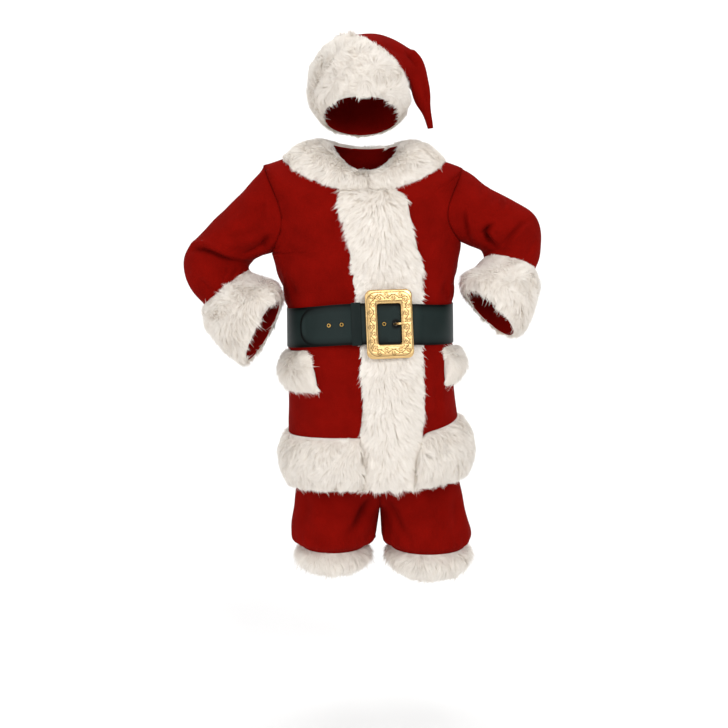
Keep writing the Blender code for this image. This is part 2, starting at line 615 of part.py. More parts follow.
def keeper():
    """The loop that holds the strap's end down, round both layers."""
    outer, inner = [], []
    for position in between(KEEPER_FROM, KEEPER_TO, 2):
        back = eased(position, FIRST_LAP_LIFT) * MM - GAP
        front = eased(position, SECOND_LAP_LIFT) * MM + STRAP + GAP
        low, high = ROW_BELT_LOW - 0.04, ROW_BELT_HIGH + 0.03
        far_low, far_high = ROW_BELT_LOW - KEEPER_OVERHANG * 7, ROW_BELT_HIGH + KEEPER_OVERHANG * 6
        inner.append([RING.at(r, position, h) for r, h in
                      ((low, back), (high, back), (high, front), (low, front))])
        outer.append([RING.at(r, position, h) for r, h in
                      ((far_low, back - KEEPER_WALL), (far_high, back - KEEPER_WALL),
                       (far_high, front + KEEPER_WALL), (far_low, front + KEEPER_WALL))])
    solid("belt_keeper", outer, inner, BELT_LEATHER, closed=True)


def column_at(x):
    """The column of the belt whose point is x across, found by halving."""
    low, high = 0.0, 2.0 * HALF_FRONT
    for _ in range(30):
        middle = (low + high) / 2
        low, high = (middle, high) if RING.at(BELT_MIDDLE, middle).x < x else (low, middle)
    return low


def strap_face(column, row, place):
    """A point of the strap's outer face under an eyelet."""
    return RING.at(row, column, strap_lift(column - AROUND, row, place) + STRAP)


def eyelets(place):
    for name, across in EYELETS.items():
        column = column_at((place @ Vector((across * MM, 0, 0))).x)
        along = strap_face(column + 0.15, BELT_MIDDLE, place) - strap_face(column - 0.15, BELT_MIDDLE, place)
        upward = strap_face(column, BELT_MIDDLE + 0.1, place) - strap_face(column, BELT_MIDDLE - 0.1, place)
        out = along.cross(upward).normalized()
        foot = strap_face(column, BELT_MIDDLE, place) + out * EYELET_SEAT
        turn = out.to_track_quat("Z", "Y").to_matrix().to_4x4()
        section = [(EYELET_OUTER, 0), (EYELET_OUTER * 0.8, EYELET_HIGH), (EYELET_INNER * 1.2, EYELET_HIGH),
                   (EYELET_INNER, 0)]
        loops = [[Vector((r * cos(2 * pi * k / EYELET_SIDES), r * sin(2 * pi * k / EYELET_SIDES), z))
                  for k in range(EYELET_SIDES)] for r, z in section]
        ring_of_loops(name, loops, BRASS).matrix_world = Matrix.Translation(foot) @ turn


# ---------------------------------------------------------------- trousers
# Each leg is one piece, open along the middle seam above the crotch and rolled to a
# tube below it.  In mm: height, the middle seam or the inner side, the outer side,
# front and back depths, and how far the section has closed from half a hip to a tube.
LegRow = namedtuple("LegRow", "z inner outer front back closed")
RIGHT_LEG = [
    LegRow(-530, 13, -201, 148, 102, 0), LegRow(-610, 18, -197, 142, 106, 0),
    LegRow(-700, 25, -194, 136, 112, 0), LegRow(-790, 31, -192, 130, 116, 0),
    LegRow(-860, 35, -191, 124, 116, 0.04), LegRow(-905, 37, -192, 119, 113, 0.22),
    LegRow(-938, 38, -195, 114, 109, 0.6), LegRow(-955, 38, -199, 112, 107, 1),
    LegRow(-985, 34, -205, 110, 105, 1), LegRow(-1014, 30, -208, 109, 104, 1),
    LegRow(-1034, 28, -206, 107, 102, 1), LegRow(-1045, 18, -198, 99, 95, 1),
    LegRow(-1051, 3, -183, 89, 86, 1), LegRow(-1057, -4, -175, 83, 81, 1),
    LegRow(-1068, -7, -172, 80, 78, 1), LegRow(-1086, -15, -163, 73, 71, 1),
    LegRow(-1104, -25, -153, 65, 63, 1), LegRow(-1122, -35, -143, 57, 55, 1),
]
LEFT_LEG = [
    LegRow(-530, 13, 220, 148, 102, 0), LegRow(-610, 18, 220, 142, 106, 0),
    LegRow(-700, 25, 229, 136, 112, 0), LegRow(-790, 31, 242, 130, 116, 0),
    LegRow(-860, 35, 252, 124, 116, 0.04), LegRow(-905, 37, 261, 119, 113, 0.22),
    LegRow(-938, 38, 269, 115, 110, 0.6), LegRow(-955, 38, 273, 114, 109, 1),
    LegRow(-985, 40, 281, 113, 108, 1), LegRow(-1014, 40, 288, 112, 107, 1),
    LegRow(-1034, 42, 289, 111, 106, 1), LegRow(-1046, 50, 285, 106, 102, 1),
    LegRow(-1052, 62, 278, 98, 96, 1), LegRow(-1058, 68, 271, 93, 92, 1),
    LegRow(-1070, 72, 268, 90, 89, 1), LegRow(-1091, 84, 263, 83, 82, 1),
    LegRow(-1112, 99, 254, 74, 73, 1), LegRow(-1134, 114, 242, 64, 63, 1),
]
LEG_STEPS = 20
KNEE_ROWS = 5                  # the last rows, inside the knee's fur
KNEE_HEIGHT = [(0, 8), (1, 29), (2, 30), (3, 24), (4, 12)]
WAIST_FRONT = 7.0              # the jacket's column over the trousers' front seam
WAIST_BACK = 24
WAISTBAND_TOP = 0.45           # of the way up the belt
WAISTBAND_WALL = 3 * MM
UNDER_JACKET = -(WALL + 0.7 * MM)
BELOW_BAND = 0.2               # rows: the legs start just below the waistband


def leg_point(row, turn):
    """A point of a leg: turn runs from 0 at the front of the middle seam to 1 at its back."""
    half_hip = Vector((row.inner + (row.outer - row.inner) * sin(pi * turn),
                       -cos(pi * turn) * (row.front if turn < 0.5 else row.back), 0))
    middle, half = (row.outer + row.inner) / 2, (row.outer - row.inner) / 2
    around = 2 * pi * turn
    tube = Vector((middle - half * cos(around),
                   -sin(around) * (row.front if turn < 0.5 else row.back), 0))
    point = half_hip.lerp(tube, row.closed) * MM
    point.z = row.z * MM
    return point


def leg_surface(side):
    table = RIGHT_LEG if side == "right" else LEFT_LEG
    away = -1 if side == "right" else 1
    turns = between(0, 1, LEG_STEPS)
    if side == "right":
        columns = between(WAIST_FRONT, WAIST_BACK - AROUND, LEG_STEPS)
    else:
        columns = between(WAIST_FRONT, WAIST_BACK, LEG_STEPS)
    rows = [[RING.at(ROW_BELT_LOW - BELOW_BAND, c, UNDER_JACKET) for c in columns]]
    rows += [[leg_point(row, t) for t in turns] for row in table]
    for ring in rows:
        for end in (0, -1):
            ring[end] = ring[end] + Vector((away * GAP / 2, 0, 0))
    for row, ring in zip(table, rows[1:]):
        if row.closed == 1:                           # the inseam's two edges
            ring[0] = ring[0] + Vector((0, -GAP / 2, 0))
            ring[-1] = ring[-1] + Vector((0, GAP / 2, 0))
    return Surface(rows, flip=side == "left")


def trousers():
    trim("trouser_waistband", RING, [ROW_BELT_LOW + 0.003, ROW_BELT_LOW + WAISTBAND_TOP], range(AROUND),
         lambda r, c: UNDER_JACKET, PLUSH_RED, closed=True, base=UNDER_JACKET - WAISTBAND_WALL)
    for side in ("right", "left"):
        surface = leg_surface(side)
        rows, columns = range(surface.height + 1), range(LEG_STEPS + 1)
        solid("trouser_leg_" + side, surface.sheet(rows, columns),
              surface.sheet(rows, columns, lambda r, c: -WALL), PLUSH_RED)
        knee = Surface([ring[:-1] for ring in surface.rows[-KNEE_ROWS:]], closed=True, flip=side == "left")
        trim("knee_fur_" + side, knee, range(KNEE_ROWS), range(LEG_STEPS),
             lambda r, c: eased(r, KNEE_HEIGHT) * MM, closed=True, base=2 * GAP)


# ---------------------------------------------------------------- hat
# Rings of the hat from its edge over the crown to the tip of the tail, as the sleeves'.
HAT = [
    SleeveRow(-112, 92, 88, 96, -6, 112), SleeveRow(-124, 135, 92, 115, 8, 116, 4),
    SleeveRow(-126, 185, 94, 132, 22, 114, 10), SleeveRow(-112, 240, 96, 148, 34, 108, 18),
    SleeveRow(-78, 284, 98, 162, 42, 98, 28),          # top of the fur band
    SleeveRow(-32, 301, 103, 171, 46, 86, 25), SleeveRow(9, 309, 108, 173, 48, 74, 17),
    SleeveRow(46, 304, 113, 171, 48, 63, 10), SleeveRow(88, 285, 117, 165, 48, 53, 5),
    SleeveRow(124, 265, 120, 156, 48, 44), SleeveRow(149, 247, 123, 145, 46, 36),
    SleeveRow(160, 214, 128, 133, 45, 29), SleeveRow(165, 177, 134, 121, 44, 23),
    SleeveRow(170, 135, 144, 107, 42, 17), SleeveRow(175, 96, 154, 87, 41, 12),
    SleeveRow(177, 66, 163, 64, 40, 7),
]
HAT_POINTS = 20
BAND_ROWS = 5
BAND_HEIGHT = [(0, 12), (1, 32), (2, 36), (3, 31), (4, 10)]
BAND_TAIL_SIDE = 0.66          # the tail presses the fur where it hangs


def hat():
    rings = limb_rings(HAT, HAT_POINTS)
    surface = Surface(rings, closed=True)
    rows, columns = range(len(HAT)), range(HAT_POINTS)
    solid("hat_crown", surface.sheet(rows, columns), surface.sheet(rows, columns, lambda r, c: -WALL),
          PLUSH_RED, closed=True, capped=True)

    def band_lift(r, c):
        beside = max(0.0, -cos(2 * pi * c / HAT_POINTS))
        return eased(r, BAND_HEIGHT) * MM * (1 - (1 - BAND_TAIL_SIDE) * beside)
    trim("hat_fur", surface, range(BAND_ROWS), columns, band_lift, closed=True)


def clear_scene():
    for old in list(bpy.data.objects):
        bpy.data.objects.remove(old)


def main():
    clear_scene()
    jacket()
    sleeves()
    place = buckle_frame()
    buckle(place)
    prong(place)
    belt(place)
    trousers()
    hat()


main()
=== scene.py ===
"""Looks of a santa suit as it is worn: red plush jacket, knee trousers and hat, long-pile
white fur trim, and a wide leather belt with a cast buckle.  Metres, +Z up, front to -Y."""
import math
from collections import namedtuple

import bmesh
import bpy
import numpy as np
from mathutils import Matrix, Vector, noise
from mathutils.bvhtree import BVHTree
from mathutils.kdtree import KDTree


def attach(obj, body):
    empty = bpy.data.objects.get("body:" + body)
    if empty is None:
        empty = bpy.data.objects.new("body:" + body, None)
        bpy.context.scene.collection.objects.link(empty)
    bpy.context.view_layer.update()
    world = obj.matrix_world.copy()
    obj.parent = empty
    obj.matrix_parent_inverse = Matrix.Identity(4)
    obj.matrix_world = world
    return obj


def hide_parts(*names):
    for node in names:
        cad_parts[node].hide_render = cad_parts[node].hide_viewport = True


MM = 0.001
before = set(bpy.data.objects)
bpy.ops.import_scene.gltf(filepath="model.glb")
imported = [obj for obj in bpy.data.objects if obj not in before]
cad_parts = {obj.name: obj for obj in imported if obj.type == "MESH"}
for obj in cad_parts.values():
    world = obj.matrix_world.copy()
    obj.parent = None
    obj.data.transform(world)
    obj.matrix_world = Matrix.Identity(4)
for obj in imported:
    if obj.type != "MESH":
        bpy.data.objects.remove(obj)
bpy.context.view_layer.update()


# ---------------- arrays
def smooth_step(value, low, high):
    """0 up to one value and 1 from another on, with a soft change between them."""
    share = np.clip((value - low) / (high - low), 0, 1)
    return share * share * (3 - 2 * share)


def unit(vectors):
    return vectors / np.maximum(np.linalg.norm(vectors, axis=-1, keepdims=True), 1e-9)


def flattened(vectors, up, share=1.0):
    """Vectors without a share of what they have along `up`."""
    return vectors - share * up * (vectors * up).sum(axis=1, keepdims=True)


def rows(data, key):
    """What a mesh's vertices have under a key ("co" or "normal"), a row for each."""
    values = np.empty(len(data.vertices) * 3)
    data.vertices.foreach_get(key, values)
    return values.reshape(-1, 3)


def place(data, points):
    data.vertices.foreach_set("co", points.ravel())
    data.update()


def carry(data, key, values):
    """A value for each vertex of a mesh, which its material reads."""
    data.attributes.new(key, "FLOAT", "POINT").data.foreach_set("value", values)


# ---------------- meshes and objects
def as_data(mesh, name):
    data = bpy.data.meshes.new(name)
    mesh.to_mesh(data)
    mesh.free()
    return data


def stand(name, data):
    """A new object, linked into the scene."""
    holder = bpy.data.objects.new(name, data)
    bpy.context.collection.objects.link(holder)
    return holder


def cad_copy(name):
    """A CAD node's mesh, its doubles merged and its triangles paired into quads."""
    mesh = bmesh.new()
    mesh.from_mesh(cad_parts[name].data)
    bmesh.ops.remove_doubles(mesh, verts=mesh.verts, dist=0.02 * MM)
    bmesh.ops.join_triangles(mesh, faces=mesh.faces, angle_face_threshold=math.radians(40),
                             angle_shape_threshold=math.radians(60))
    return mesh


def rim_edges(mesh, angle):
    """The edges where a mesh turns by more than an angle, in degrees."""
    return [edge for edge in mesh.edges
            if len(edge.link_faces) == 2 and edge.calc_face_angle(0) > math.radians(angle)]


def modified(mesh, kind, **settings):
    """A mesh put through one modifier, as data."""
    coarse = as_data(mesh, "coarse")
    holder = stand("coarse", coarse)
    modifier = holder.modifiers.new("modifier", kind)
    for key, value in settings.items():
        setattr(modifier, key, value)
    shown = holder.evaluated_get(bpy.context.evaluated_depsgraph_get())
    fine = bpy.data.meshes.new_from_object(shown)
    bpy.data.objects.remove(holder)
    bpy.data.meshes.remove(coarse)
    return fine


def refined(mesh, level, rim=50):
    """A mesh smoothed over its quads, as data; edges over `rim` degrees are kept."""
    crease = mesh.edges.layers.float.new("crease_edge")
    for edge in rim_edges(mesh, rim):
        edge[crease] = 1
    return modified(mesh, "SUBSURF", levels=level, render_levels=level)


def surface_of(*nodes):
    """The CAD nodes' surfaces as one tree to measure from."""
    joined = bmesh.new()
    for name in nodes:
        joined.from_mesh(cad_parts[name].data)
    tree = BVHTree.FromBMesh(joined)
    joined.free()
    return tree


def distances(points, tree, limit):
    """Distance of each point from a surface, up to a limit."""
    found = (tree.find_nearest(Vector(p), limit) for p in points)
    return np.array([limit if hit[3] is None else hit[3] for hit in found])


def show(name, data, material, slot, *nodes):
    """A finished piece: on the body, with its material, for its CAD nodes; the slot that it is
    given is not used.
    """
    piece = stand(name, data)
    data.materials.clear()
    data.materials.append(material)
    data.shade_smooth()
    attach(piece, "root")
    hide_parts(*nodes)
    return piece


# ---------------- material nodes
def linear(code):
    """An sRGB hex colour as linear RGBA."""
    parts = [int(code[i:i + 2], 16) / 255 for i in (1, 3, 5)]
    parts = [p / 12.92 if p <= 0.04045 else ((p + 0.055) / 1.055) ** 2.4 for p in parts]
    return (*parts, 1.0)


def add(tree, kind, links=None, **settings):
    """A node with its settings and its inputs: a value sets an input, a socket links it."""
    new = tree.nodes.new(kind)
    for key, value in settings.items():
        setattr(new, key, value)
    for key, value in (links or {}).items():
        if isinstance(value, bpy.types.NodeSocket):
            tree.links.new(value, new.inputs[key])
        else:
            new.inputs[key].default_value = value
    return new


def new_material(name, constants):
    """A material of one shader, its constants set on the shader's own inputs, and where on
    the object each spot of it lies."""
    material = bpy.data.materials.new(name)
    material.use_nodes = True
    tree = material.node_tree
    tree.nodes.clear()
    shader = add(tree, "ShaderNodeBsdfPrincipled", constants)
    add(tree, "ShaderNodeOutputMaterial", {"Surface": shader.outputs[0]})
    return material, tree, shader, add(tree, "ShaderNodeTexCoord").outputs["Object"]


def feed(tree, node, name, socket):
    tree.links.new(socket, node.inputs[name])


def noise_over(tree, where, scale, **more):
    return add(tree, "ShaderNodeTexNoise",
               {"Vector": where, "Scale": scale, **more}).outputs["Fac"]


def carried(tree, name, output="Fac"):
    """An attribute that the mesh carries."""
    return add(tree, "ShaderNodeAttribute", attribute_name=name).outputs[output]


def blend(tree, share, low, high):
    """One colour that turns into another as a share goes from 0 to 1."""
    return add(tree, "ShaderNodeMix", {0: share, 6: low, 7: high}, data_type="RGBA").outputs[2]


def remapped(tree, value, source=(0.0, 1.0), target=(0.0, 1.0)):
    """A value's range stretched to another range, and cut off at its ends."""
    ends = {"From Min": source[0], "From Max": source[1], "To Min": target[0], "To Max": target[1]}
    return add(tree, "ShaderNodeMapRange", {"Value": value, **ends}).outputs[0]


def maths(tree, operation, *values):
    return add(tree, "ShaderNodeMath", dict(enumerate(values)), operation=operation).outputs[0]


def vector_maths(tree, operation, links):
    node = add(tree, "ShaderNodeVectorMath", links, operation=operation)
    return node.outputs["Value" if operation == "DOT_PRODUCT" else "Vector"]


def bumped(tree, shader, height, strength, distance):
    bump = add(tree, "ShaderNodeBump",
               {"Height": height, "Strength": strength, "Distance": distance})
    feed(tree, shader, "Normal", bump.outputs[0])


# ---------------- materials
def plush():
    """Polyester plush velour: a dense upright pile of about 2 mm that drinks light, glows at
    grazing angles, and shows its nap as soft lighter and darker patches."""
    material, tree, shader, where = new_material("plush_velour_red", {
        "Roughness": 0.92, "Specular IOR Level": 0.03, "Sheen Weight": 0.1,
        "Sheen Roughness": 0.45, "Sheen Tint": linear("#a81c0e")})
    # nap brushed both ways, in patches 60 mm across
    nap = noise_over(tree, where, 16.0, Detail=3.0, Roughness=0.55)
    # tufts of pile 2 mm apart, drawn as coarse as shows
    pile = noise_over(tree, where, 480.0, Detail=2.0, Roughness=0.6)
    tone = remapped(tree, maths(tree, "ADD", nap, pile), (0.7, 1.3))
    colour = blend(tree, tone, linear("#6a0703"), linear("#7f0b05"))
    # painted shade: the pile's colour darkens toward near black in a fold's trough
    folded = blend(tree, carried(tree, "painted_fold_shade"), colour, linear("#280101"))
    feed(tree, shader, "Base Color", folded)
    bumped(tree, shader, pile, 0.35, 1.2 * MM)
    return material


def fur():
    """Modacrylic long-pile fur: near white at the tips, dull and soft, with painted shade deep in
    the pile that makes it darker and a little creamier toward the roots.  Light goes through the
    fine pile, so it is shaded by the way the pile lies as a whole, and only in part by each
    blade's own flat side."""
    material, tree, shader, where = new_material("modacrylic_fur_white", {
        "Roughness": 0.8, "Specular IOR Level": 0.15})
    material.cycles.use_bump_map_correction = False
    cloud = noise_over(tree, where, 22.0, Detail=2.0)
    shade = maths(tree, "MULTIPLY", cloud, carried(tree, "tuft"))
    tip = blend(tree, shade, linear("#f2ede6"), linear("#e7e1d9"))
    # painted shade deep in the pile: toward the roots and on the backing the colour darkens to a
    # warm grey
    colour = blend(tree, carried(tree, "pile"), linear("#d8d0c7"), tip)
    feed(tree, shader, "Base Color", colour)
    # the way the pile lies, with a part of the blade's flat side that faces that way
    nap = carried(tree, "nap", "Vector")
    flat = add(tree, "ShaderNodeNewGeometry").outputs["True Normal"]
    same = vector_maths(tree, "DOT_PRODUCT", {0: nap, 1: flat})
    share = maths(tree, "MULTIPLY", maths(tree, "SIGN", same), 0.35)
    turned = vector_maths(tree, "SCALE", {0: flat, "Scale": share})
    summed = vector_maths(tree, "ADD", {0: nap, 1: turned})
    lies = vector_maths(tree, "NORMALIZE", {0: summed})
    feed(tree, shader, "Normal", lies)
    # light that comes through a blade from its far side
    under = vector_maths(tree, "SCALE", {0: lies, "Scale": -1.0})
    through = add(tree, "ShaderNodeBsdfTranslucent", {"Color": colour, "Normal": under})
    behind = maths(tree, "LESS_THAN", same, 0.0)
    both = add(tree, "ShaderNodeMixShader",
               {0: behind, 1: shader.outputs[0], 2: through.outputs[0]})
    feed(tree, tree.nodes["Material Output"], "Surface", both.outputs[0])
    return material


def belt_leather():
    """Vinyl-coated split leather: black with a cool cast, a fine tight grain 0.8 mm across
    under a satin coat, and edges inked a deeper black."""
    material, tree, shader, where = new_material("coated_leather_black", {
        "Specular IOR Level": 0.1, "Coat Weight": 0.01, "Coat Roughness": 0.3})
    wear = noise_over(tree, where, 14.0, Detail=4.0)
    face = blend(tree, wear, linear("#182221"), linear("#202c2b"))
    feed(tree, shader, "Base Color", blend(tree, carried(tree, "edge"), face, linear("#020303")))
    feed(tree, shader, "Roughness", remapped(tree, wear, target=(0.42, 0.56)))
    grain = add(tree, "ShaderNodeTexVoronoi", {"Vector": where, "Scale": 1100.0}, feature="F1")
    bumped(tree, shader, grain.outputs["Distance"], 0.25, 0.15 * MM)
    return material


def cast_gold():
    """Zinc casting plated a pale gold: bright on the high parts, brown antiquing left in the
    engraved lines, slightly uneven as cast."""
    material, tree, shader, where = new_material("plated_zinc_gold", {"Metallic": 1.0})
    tarnish = noise_over(tree, where, 90.0, Detail=4.0)
    metal = blend(tree, tarnish, linear("#efcf98"), linear("#d8ae6c"))
    antiqued = blend(tree, carried(tree, "engraved"), metal, linear("#4d2e10"))
    feed(tree, shader, "Base Color", antiqued)
    feed(tree, shader, "Roughness", remapped(tree, tarnish, target=(0.26, 0.42)))
    bumped(tree, shader, tarnish, 0.2, 0.3 * MM)
    return material


def eyelet_brass():
    """Rolled brass eyelets: yellow and lightly scuffed on the lip, with painted shade down in the
    barrel.
    """
    material, tree, shader, where = new_material("rolled_brass", {
        "Metallic": 1.0, "Roughness": 0.3})
    scuff = noise_over(tree, where, 600.0, Detail=3.0)
    brass = blend(tree, scuff, linear("#d9b268"), linear("#b98a3e"))
    lip = remapped(tree, carried(tree, "lip"), (0.3, 0.6))
    # painted shade: the barrel, down in the hole, goes near black
    feed(tree, shader, "Base Color", blend(tree, lip, linear("#120c06"), brass))
    return material


def studio_white():
    """Seamless background paper: matt, all but white."""
    material, tree, shader, where = new_material("seamless_paper", {"Roughness": 0.9})
    fibre = noise_over(tree, where, 3.0)
    feed(tree, shader, "Base Color", blend(tree, fibre, linear("#f6f6f6"), linear("#fafafa")))
    return material


# ---------------- folds in the cloth
# The line that runs inside each garment, in mm: cloth moves towards it or away from it.
INSIDE_JACKET = [(5, -20, -880), (5, -20, -150)]
INSIDE_SLEEVE = {
    "sleeve_right": [(-273, 2, -163), (-310, 9, -195), (-356, 17, -234), (-386, 20, -262),
                     (-396, 18, -300), (-390, 12, -325), (-370, 2, -350), (-324, -53, -396),
                     (-266, -108, -451)],
    "sleeve_left": [(271, 2, -146), (315, 8, -174), (362, 15, -198), (382, 17, -217),
                    (388, 15, -254), (379, -1, -288), (349, -40, -351), (322, -82, -408)],
}
INSIDE_LEG = {
    "trouser_leg_right": [(-60, -15, -505), (-75, -12, -900), (-89, 0, -1050), (-89, 0, -1122)],
    "trouser_leg_left": [(75, -15, -505), (120, -10, -900), (165, 0, -1050), (178, 0, -1134)],
}
INSIDE_HAT = [(-12, -6, 94), (-16, 8, 125), (-16, 22, 158), (-8, 34, 194), (10, 42, 223),
              (35, 46, 236), (58, 48, 241), (79, 48, 237), (102, 48, 225), (122, 48, 210),
              (136, 46, 196), (144, 45, 173), (149, 44, 149), (157, 42, 121), (164, 41, 91),
              (170, 40, 65)]

# A row is one fold: the side it is seen from, how deep and how wide it is in mm, how much of its
# depth stands up as a ridge beside it, and its course in mm as (across, up) on that side.
Fold = namedtuple("Fold", "side deep wide ridge course")
JACKET_FOLDS = [
    ("front", 5, 12, 0.5, [(-243, -205), (-205, -236), (-150, -262), (-95, -275)]),
    ("front", 4, 16, 0.6, [(-232, -160), (-190, -190), (-160, -250)]),
    ("front", 9, 9, 0.5, [(-197, -322), (-192, -345), (-190, -372)]),
    ("front", 6, 14, 0.6, [(-222, -300), (-200, -335), (-150, -382)]),
    ("front", 3, 24, 0.4, [(-150, -180), (-130, -250), (-118, -340)]),
    ("front", 6, 10, 0.5, [(221, -322), (217, -345), (214, -368)]),
    ("front", 6, 13, 0.6, [(238, -285), (222, -322), (186, -376)]),
    ("front", 5, 11, 0.5, [(225, -190), (212, -232), (190, -262)]),
    ("front", 3, 22, 0.4, [(165, -170), (160, -250), (168, -330)]),
    ("front", 4, 14, 0.5, [(-104, -560), (-100, -625), (-97, -700)]),
    ("front", 3, 20, 0.5, [(-188, -660), (-170, -690), (-140, -722)]),
    ("front", 6, 9, 0.5, [(180, -560), (184, -630), (187, -706)]),
    ("front", 3, 16, 0.5, [(-60, -520), (-66, -590)]),
    ("front", 4, 13, 0.6, [(-150, -516), (-130, -560), (-126, -610)]),
    ("back", 8, 15, 0.6, [(-232, -235), (-180, -288), (-120, -325), (-70, -376)]),
    ("back", 7, 14, 0.6, [(236, -225), (190, -280), (130, -312), (86, -372)]),
    ("back", 5, 16, 0.5, [(-170, -350), (-90, -362), (-20, -352), (30, -372)]),
    ("back", 4, 22, 0.4, [(-130, -95), (-30, -112), (90, -98), (150, -80)]),
    ("back", 4, 20, 0.4, [(-10, -190), (5, -260), (-6, -340)]),
    ("back", 8, 20, 0.6, [(-166, -515), (-158, -600), (-172, -705)]),
    ("back", 6, 16, 0.6, [(-88, -510), (-84, -575), (-72, -668)]),
    ("back", 9, 22, 0.6, [(4, -512), (14, -610), (8, -708)]),
    ("back", 6, 17, 0.6, [(84, -508), (92, -590), (88, -640)]),
    ("back", 8, 19, 0.6, [(166, -512), (158, -600), (174, -700)]),
    ("right", 6, 14, 0.6, [(-60, -300), (-10, -340), (30, -380)]),
    ("right", 6, 18, 0.6, [(30, -515), (42, -600), (36, -690)]),
    ("left", 6, 14, 0.6, [(-50, -290), (0, -335), (44, -376)]),
    ("left", 7, 16, 0.6, [(28, -505), (20, -590), (34, -676)]),
]
SLEEVE_RIGHT_FOLDS = [
    ("front", 10, 8, 0.5, [(-243, -206), (-254, -228), (-272, -256)]),
    ("front", 7, 13, 0.8, [(-252, -180), (-301, -203), (-352, -214), (-410, -226)]),
    ("front", 9, 8, 0.6, [(-250, -205), (-268, -236), (-300, -254), (-330, -268)]),
    ("front", 16, 8, 0.6, [(-476, -262), (-449, -246), (-425, -245), (-396, -254), (-362, -271),
                           (-312, -290)]),
    ("front", 9, 6, 0.6, [(-330, -288), (-346, -308), (-344, -340)]),
    ("front", 8, 7, 0.6, [(-349, -286), (-372, -312), (-380, -346)]),
    ("front", 5, 11, 0.5, [(-452, -318), (-420, -338), (-398, -372)]),
    ("front", 4, 18, 0.5, [(-290, -112), (-340, -152), (-410, -210)]),
    ("front", 7, 7, 0.5, [(-262, -104), (-261, -150), (-256, -190)]),
    ("back", 14, 9, 0.6, [(-476, -262), (-430, -258), (-372, -266), (-322, -262)]),
    ("back", 8, 9, 0.6, [(-470, -312), (-420, -306), (-352, -292)]),
    ("back", 6, 15, 0.5, [(-292, -120), (-322, -170), (-366, -222)]),
    ("back", 9, 10, 0.6, [(-266, -214), (-300, -236), (-345, -240)]),
    ("back", 5, 10, 0.5, [(-446, -350), (-400, -350), (-350, -322)]),
]
SLEEVE_LEFT_FOLDS = [
    ("front", 18, 8, 0.6, [(338, -176), (316, -190), (306, -203), (320, -224), (348, -252)]),
    ("front", 9, 8, 0.6, [(440, -168), (404, -180), (375, -209), (354, -238), (347, -262)]),
    ("front", 6, 8, 0.7, [(306, -74), (300, -92), (292, -116)]),
    ("front", 6, 7, 0.7, [(340, -94), (334, -112), (322, -134)]),
    ("front", 5, 7, 0.7, [(372, -104), (366, -122), (352, -146)]),
    ("front", 10, 7, 0.6, [(249, -130), (253, -168), (262, -212), (280, -236)]),
    ("front", 5, 13, 0.6, [(290, -150), (340, -160), (396, -152)]),
    ("front", 5, 9, 0.5, [(452, -222), (430, -240), (418, -272)]),
    ("back", 6, 14, 0.5, [(296, -100), (322, -150), (340, -206)]),
    ("back", 13, 9, 0.6, [(456, -206), (412, -214), (360, -222), (318, -214)]),
    ("back", 8, 9, 0.6, [(446, -262), (402, -262), (346, -244)]),
    ("back", 8, 9, 0.6, [(262, -200), (296, -218), (330, -216)]),
]
TROUSER_FOLDS = [
    ("front", 11, 14, 0.5, [(34, -868), (10, -915), (-22, -968), (-60, -1024)]),
    ("front", 6, 13, 0.5, [(20, -900), (-12, -958), (-30, -1010)]),
    ("front", 6, 20, 0.5, [(-164, -880), (-160, -940), (-172, -1010)]),
    ("front", 10, 14, 0.5, [(44, -885), (66, -930), (94, -986), (120, -1030)]),
    ("front", 6, 12, 0.5, [(42, -930), (54, -980), (66, -1026)]),
    ("front", 7, 16, 0.6, [(240, -890), (243, -950), (252, -1020)]),
    ("front", 5, 15, 0.5, [(180, -900), (192, -960), (188, -1015)]),
    ("back", 12, 16, 0.6, [(14, -840), (-10, -915), (-58, -985)]),
    ("back", 8, 15, 0.6, [(-120, -880), (-112, -950), (-130, -1020)]),
    ("back", 12, 16, 0.6, [(62, -850), (92, -925), (124, -990)]),
    ("back", 8, 15, 0.6, [(208, -890), (216, -955), (206, -1025)]),
]
HAT_FOLDS = [
    ("front", 8, 9, 0.7, [(100, 262), (124, 240), (134, 214)]),
    ("front", 4, 9, 0.6, [(20, 270), (62, 264), (108, 248)]),
    ("front", 5, 6, 0.6, [(146, 196), (153, 158), (161, 118)]),
    ("front", 6, 7, 0.6, [(96, 284), (112, 264), (116, 240)]),
    ("back", 8, 12, 0.6, [(-60, 240), (-10, 262), (50, 258), (104, 240)]),
    ("back", 7, 11, 0.6, [(90, 270), (116, 240), (134, 200)]),
    ("back", 6, 12, 0.5, [(-70, 190), (-20, 215), (40, 216)]),
]


TROUGH_POWER = 1.3             # of a fold's trough: 1 is a crease, 2 is round
RIDGE_AT, RIDGE_WIDE = 1.5, 1.1  # the ridge's place and width, in widths of the fold
FOLD_START = (-0.04, 0.34)     # shares of a fold's course over which it deepens
FOLD_END = (-0.04, 0.42)       # ... and, from its other end, fades out
SQUARE_ON = (0.02, 0.4)        # how squarely cloth faces a fold's side to have none, or all, of it
# For each side: the axis across it, the axis that it faces along, and the sign of that.
SIDES = {"front": (0, 1, -1), "back": (0, 1, 1), "right": (1, 0, -1), "left": (1, 0, 1)}


def away_from(points, line):
    """Unit vectors from the nearest place on a line inside the garment."""
    line = np.array(line) * MM
    best = np.full(len(points), np.inf)
    away = np.zeros_like(points)
    for start, end in zip(line, line[1:]):
        run = end - start
        share = np.clip((points - start) @ run / (run @ run), 0, 1)
        gap = points - (start + share[:, None] * run)
        far = np.linalg.norm(gap, axis=1)
        closer = far < best
        best[closer] = far[closer]
        away[closer] = gap[closer]
    return unit(away)


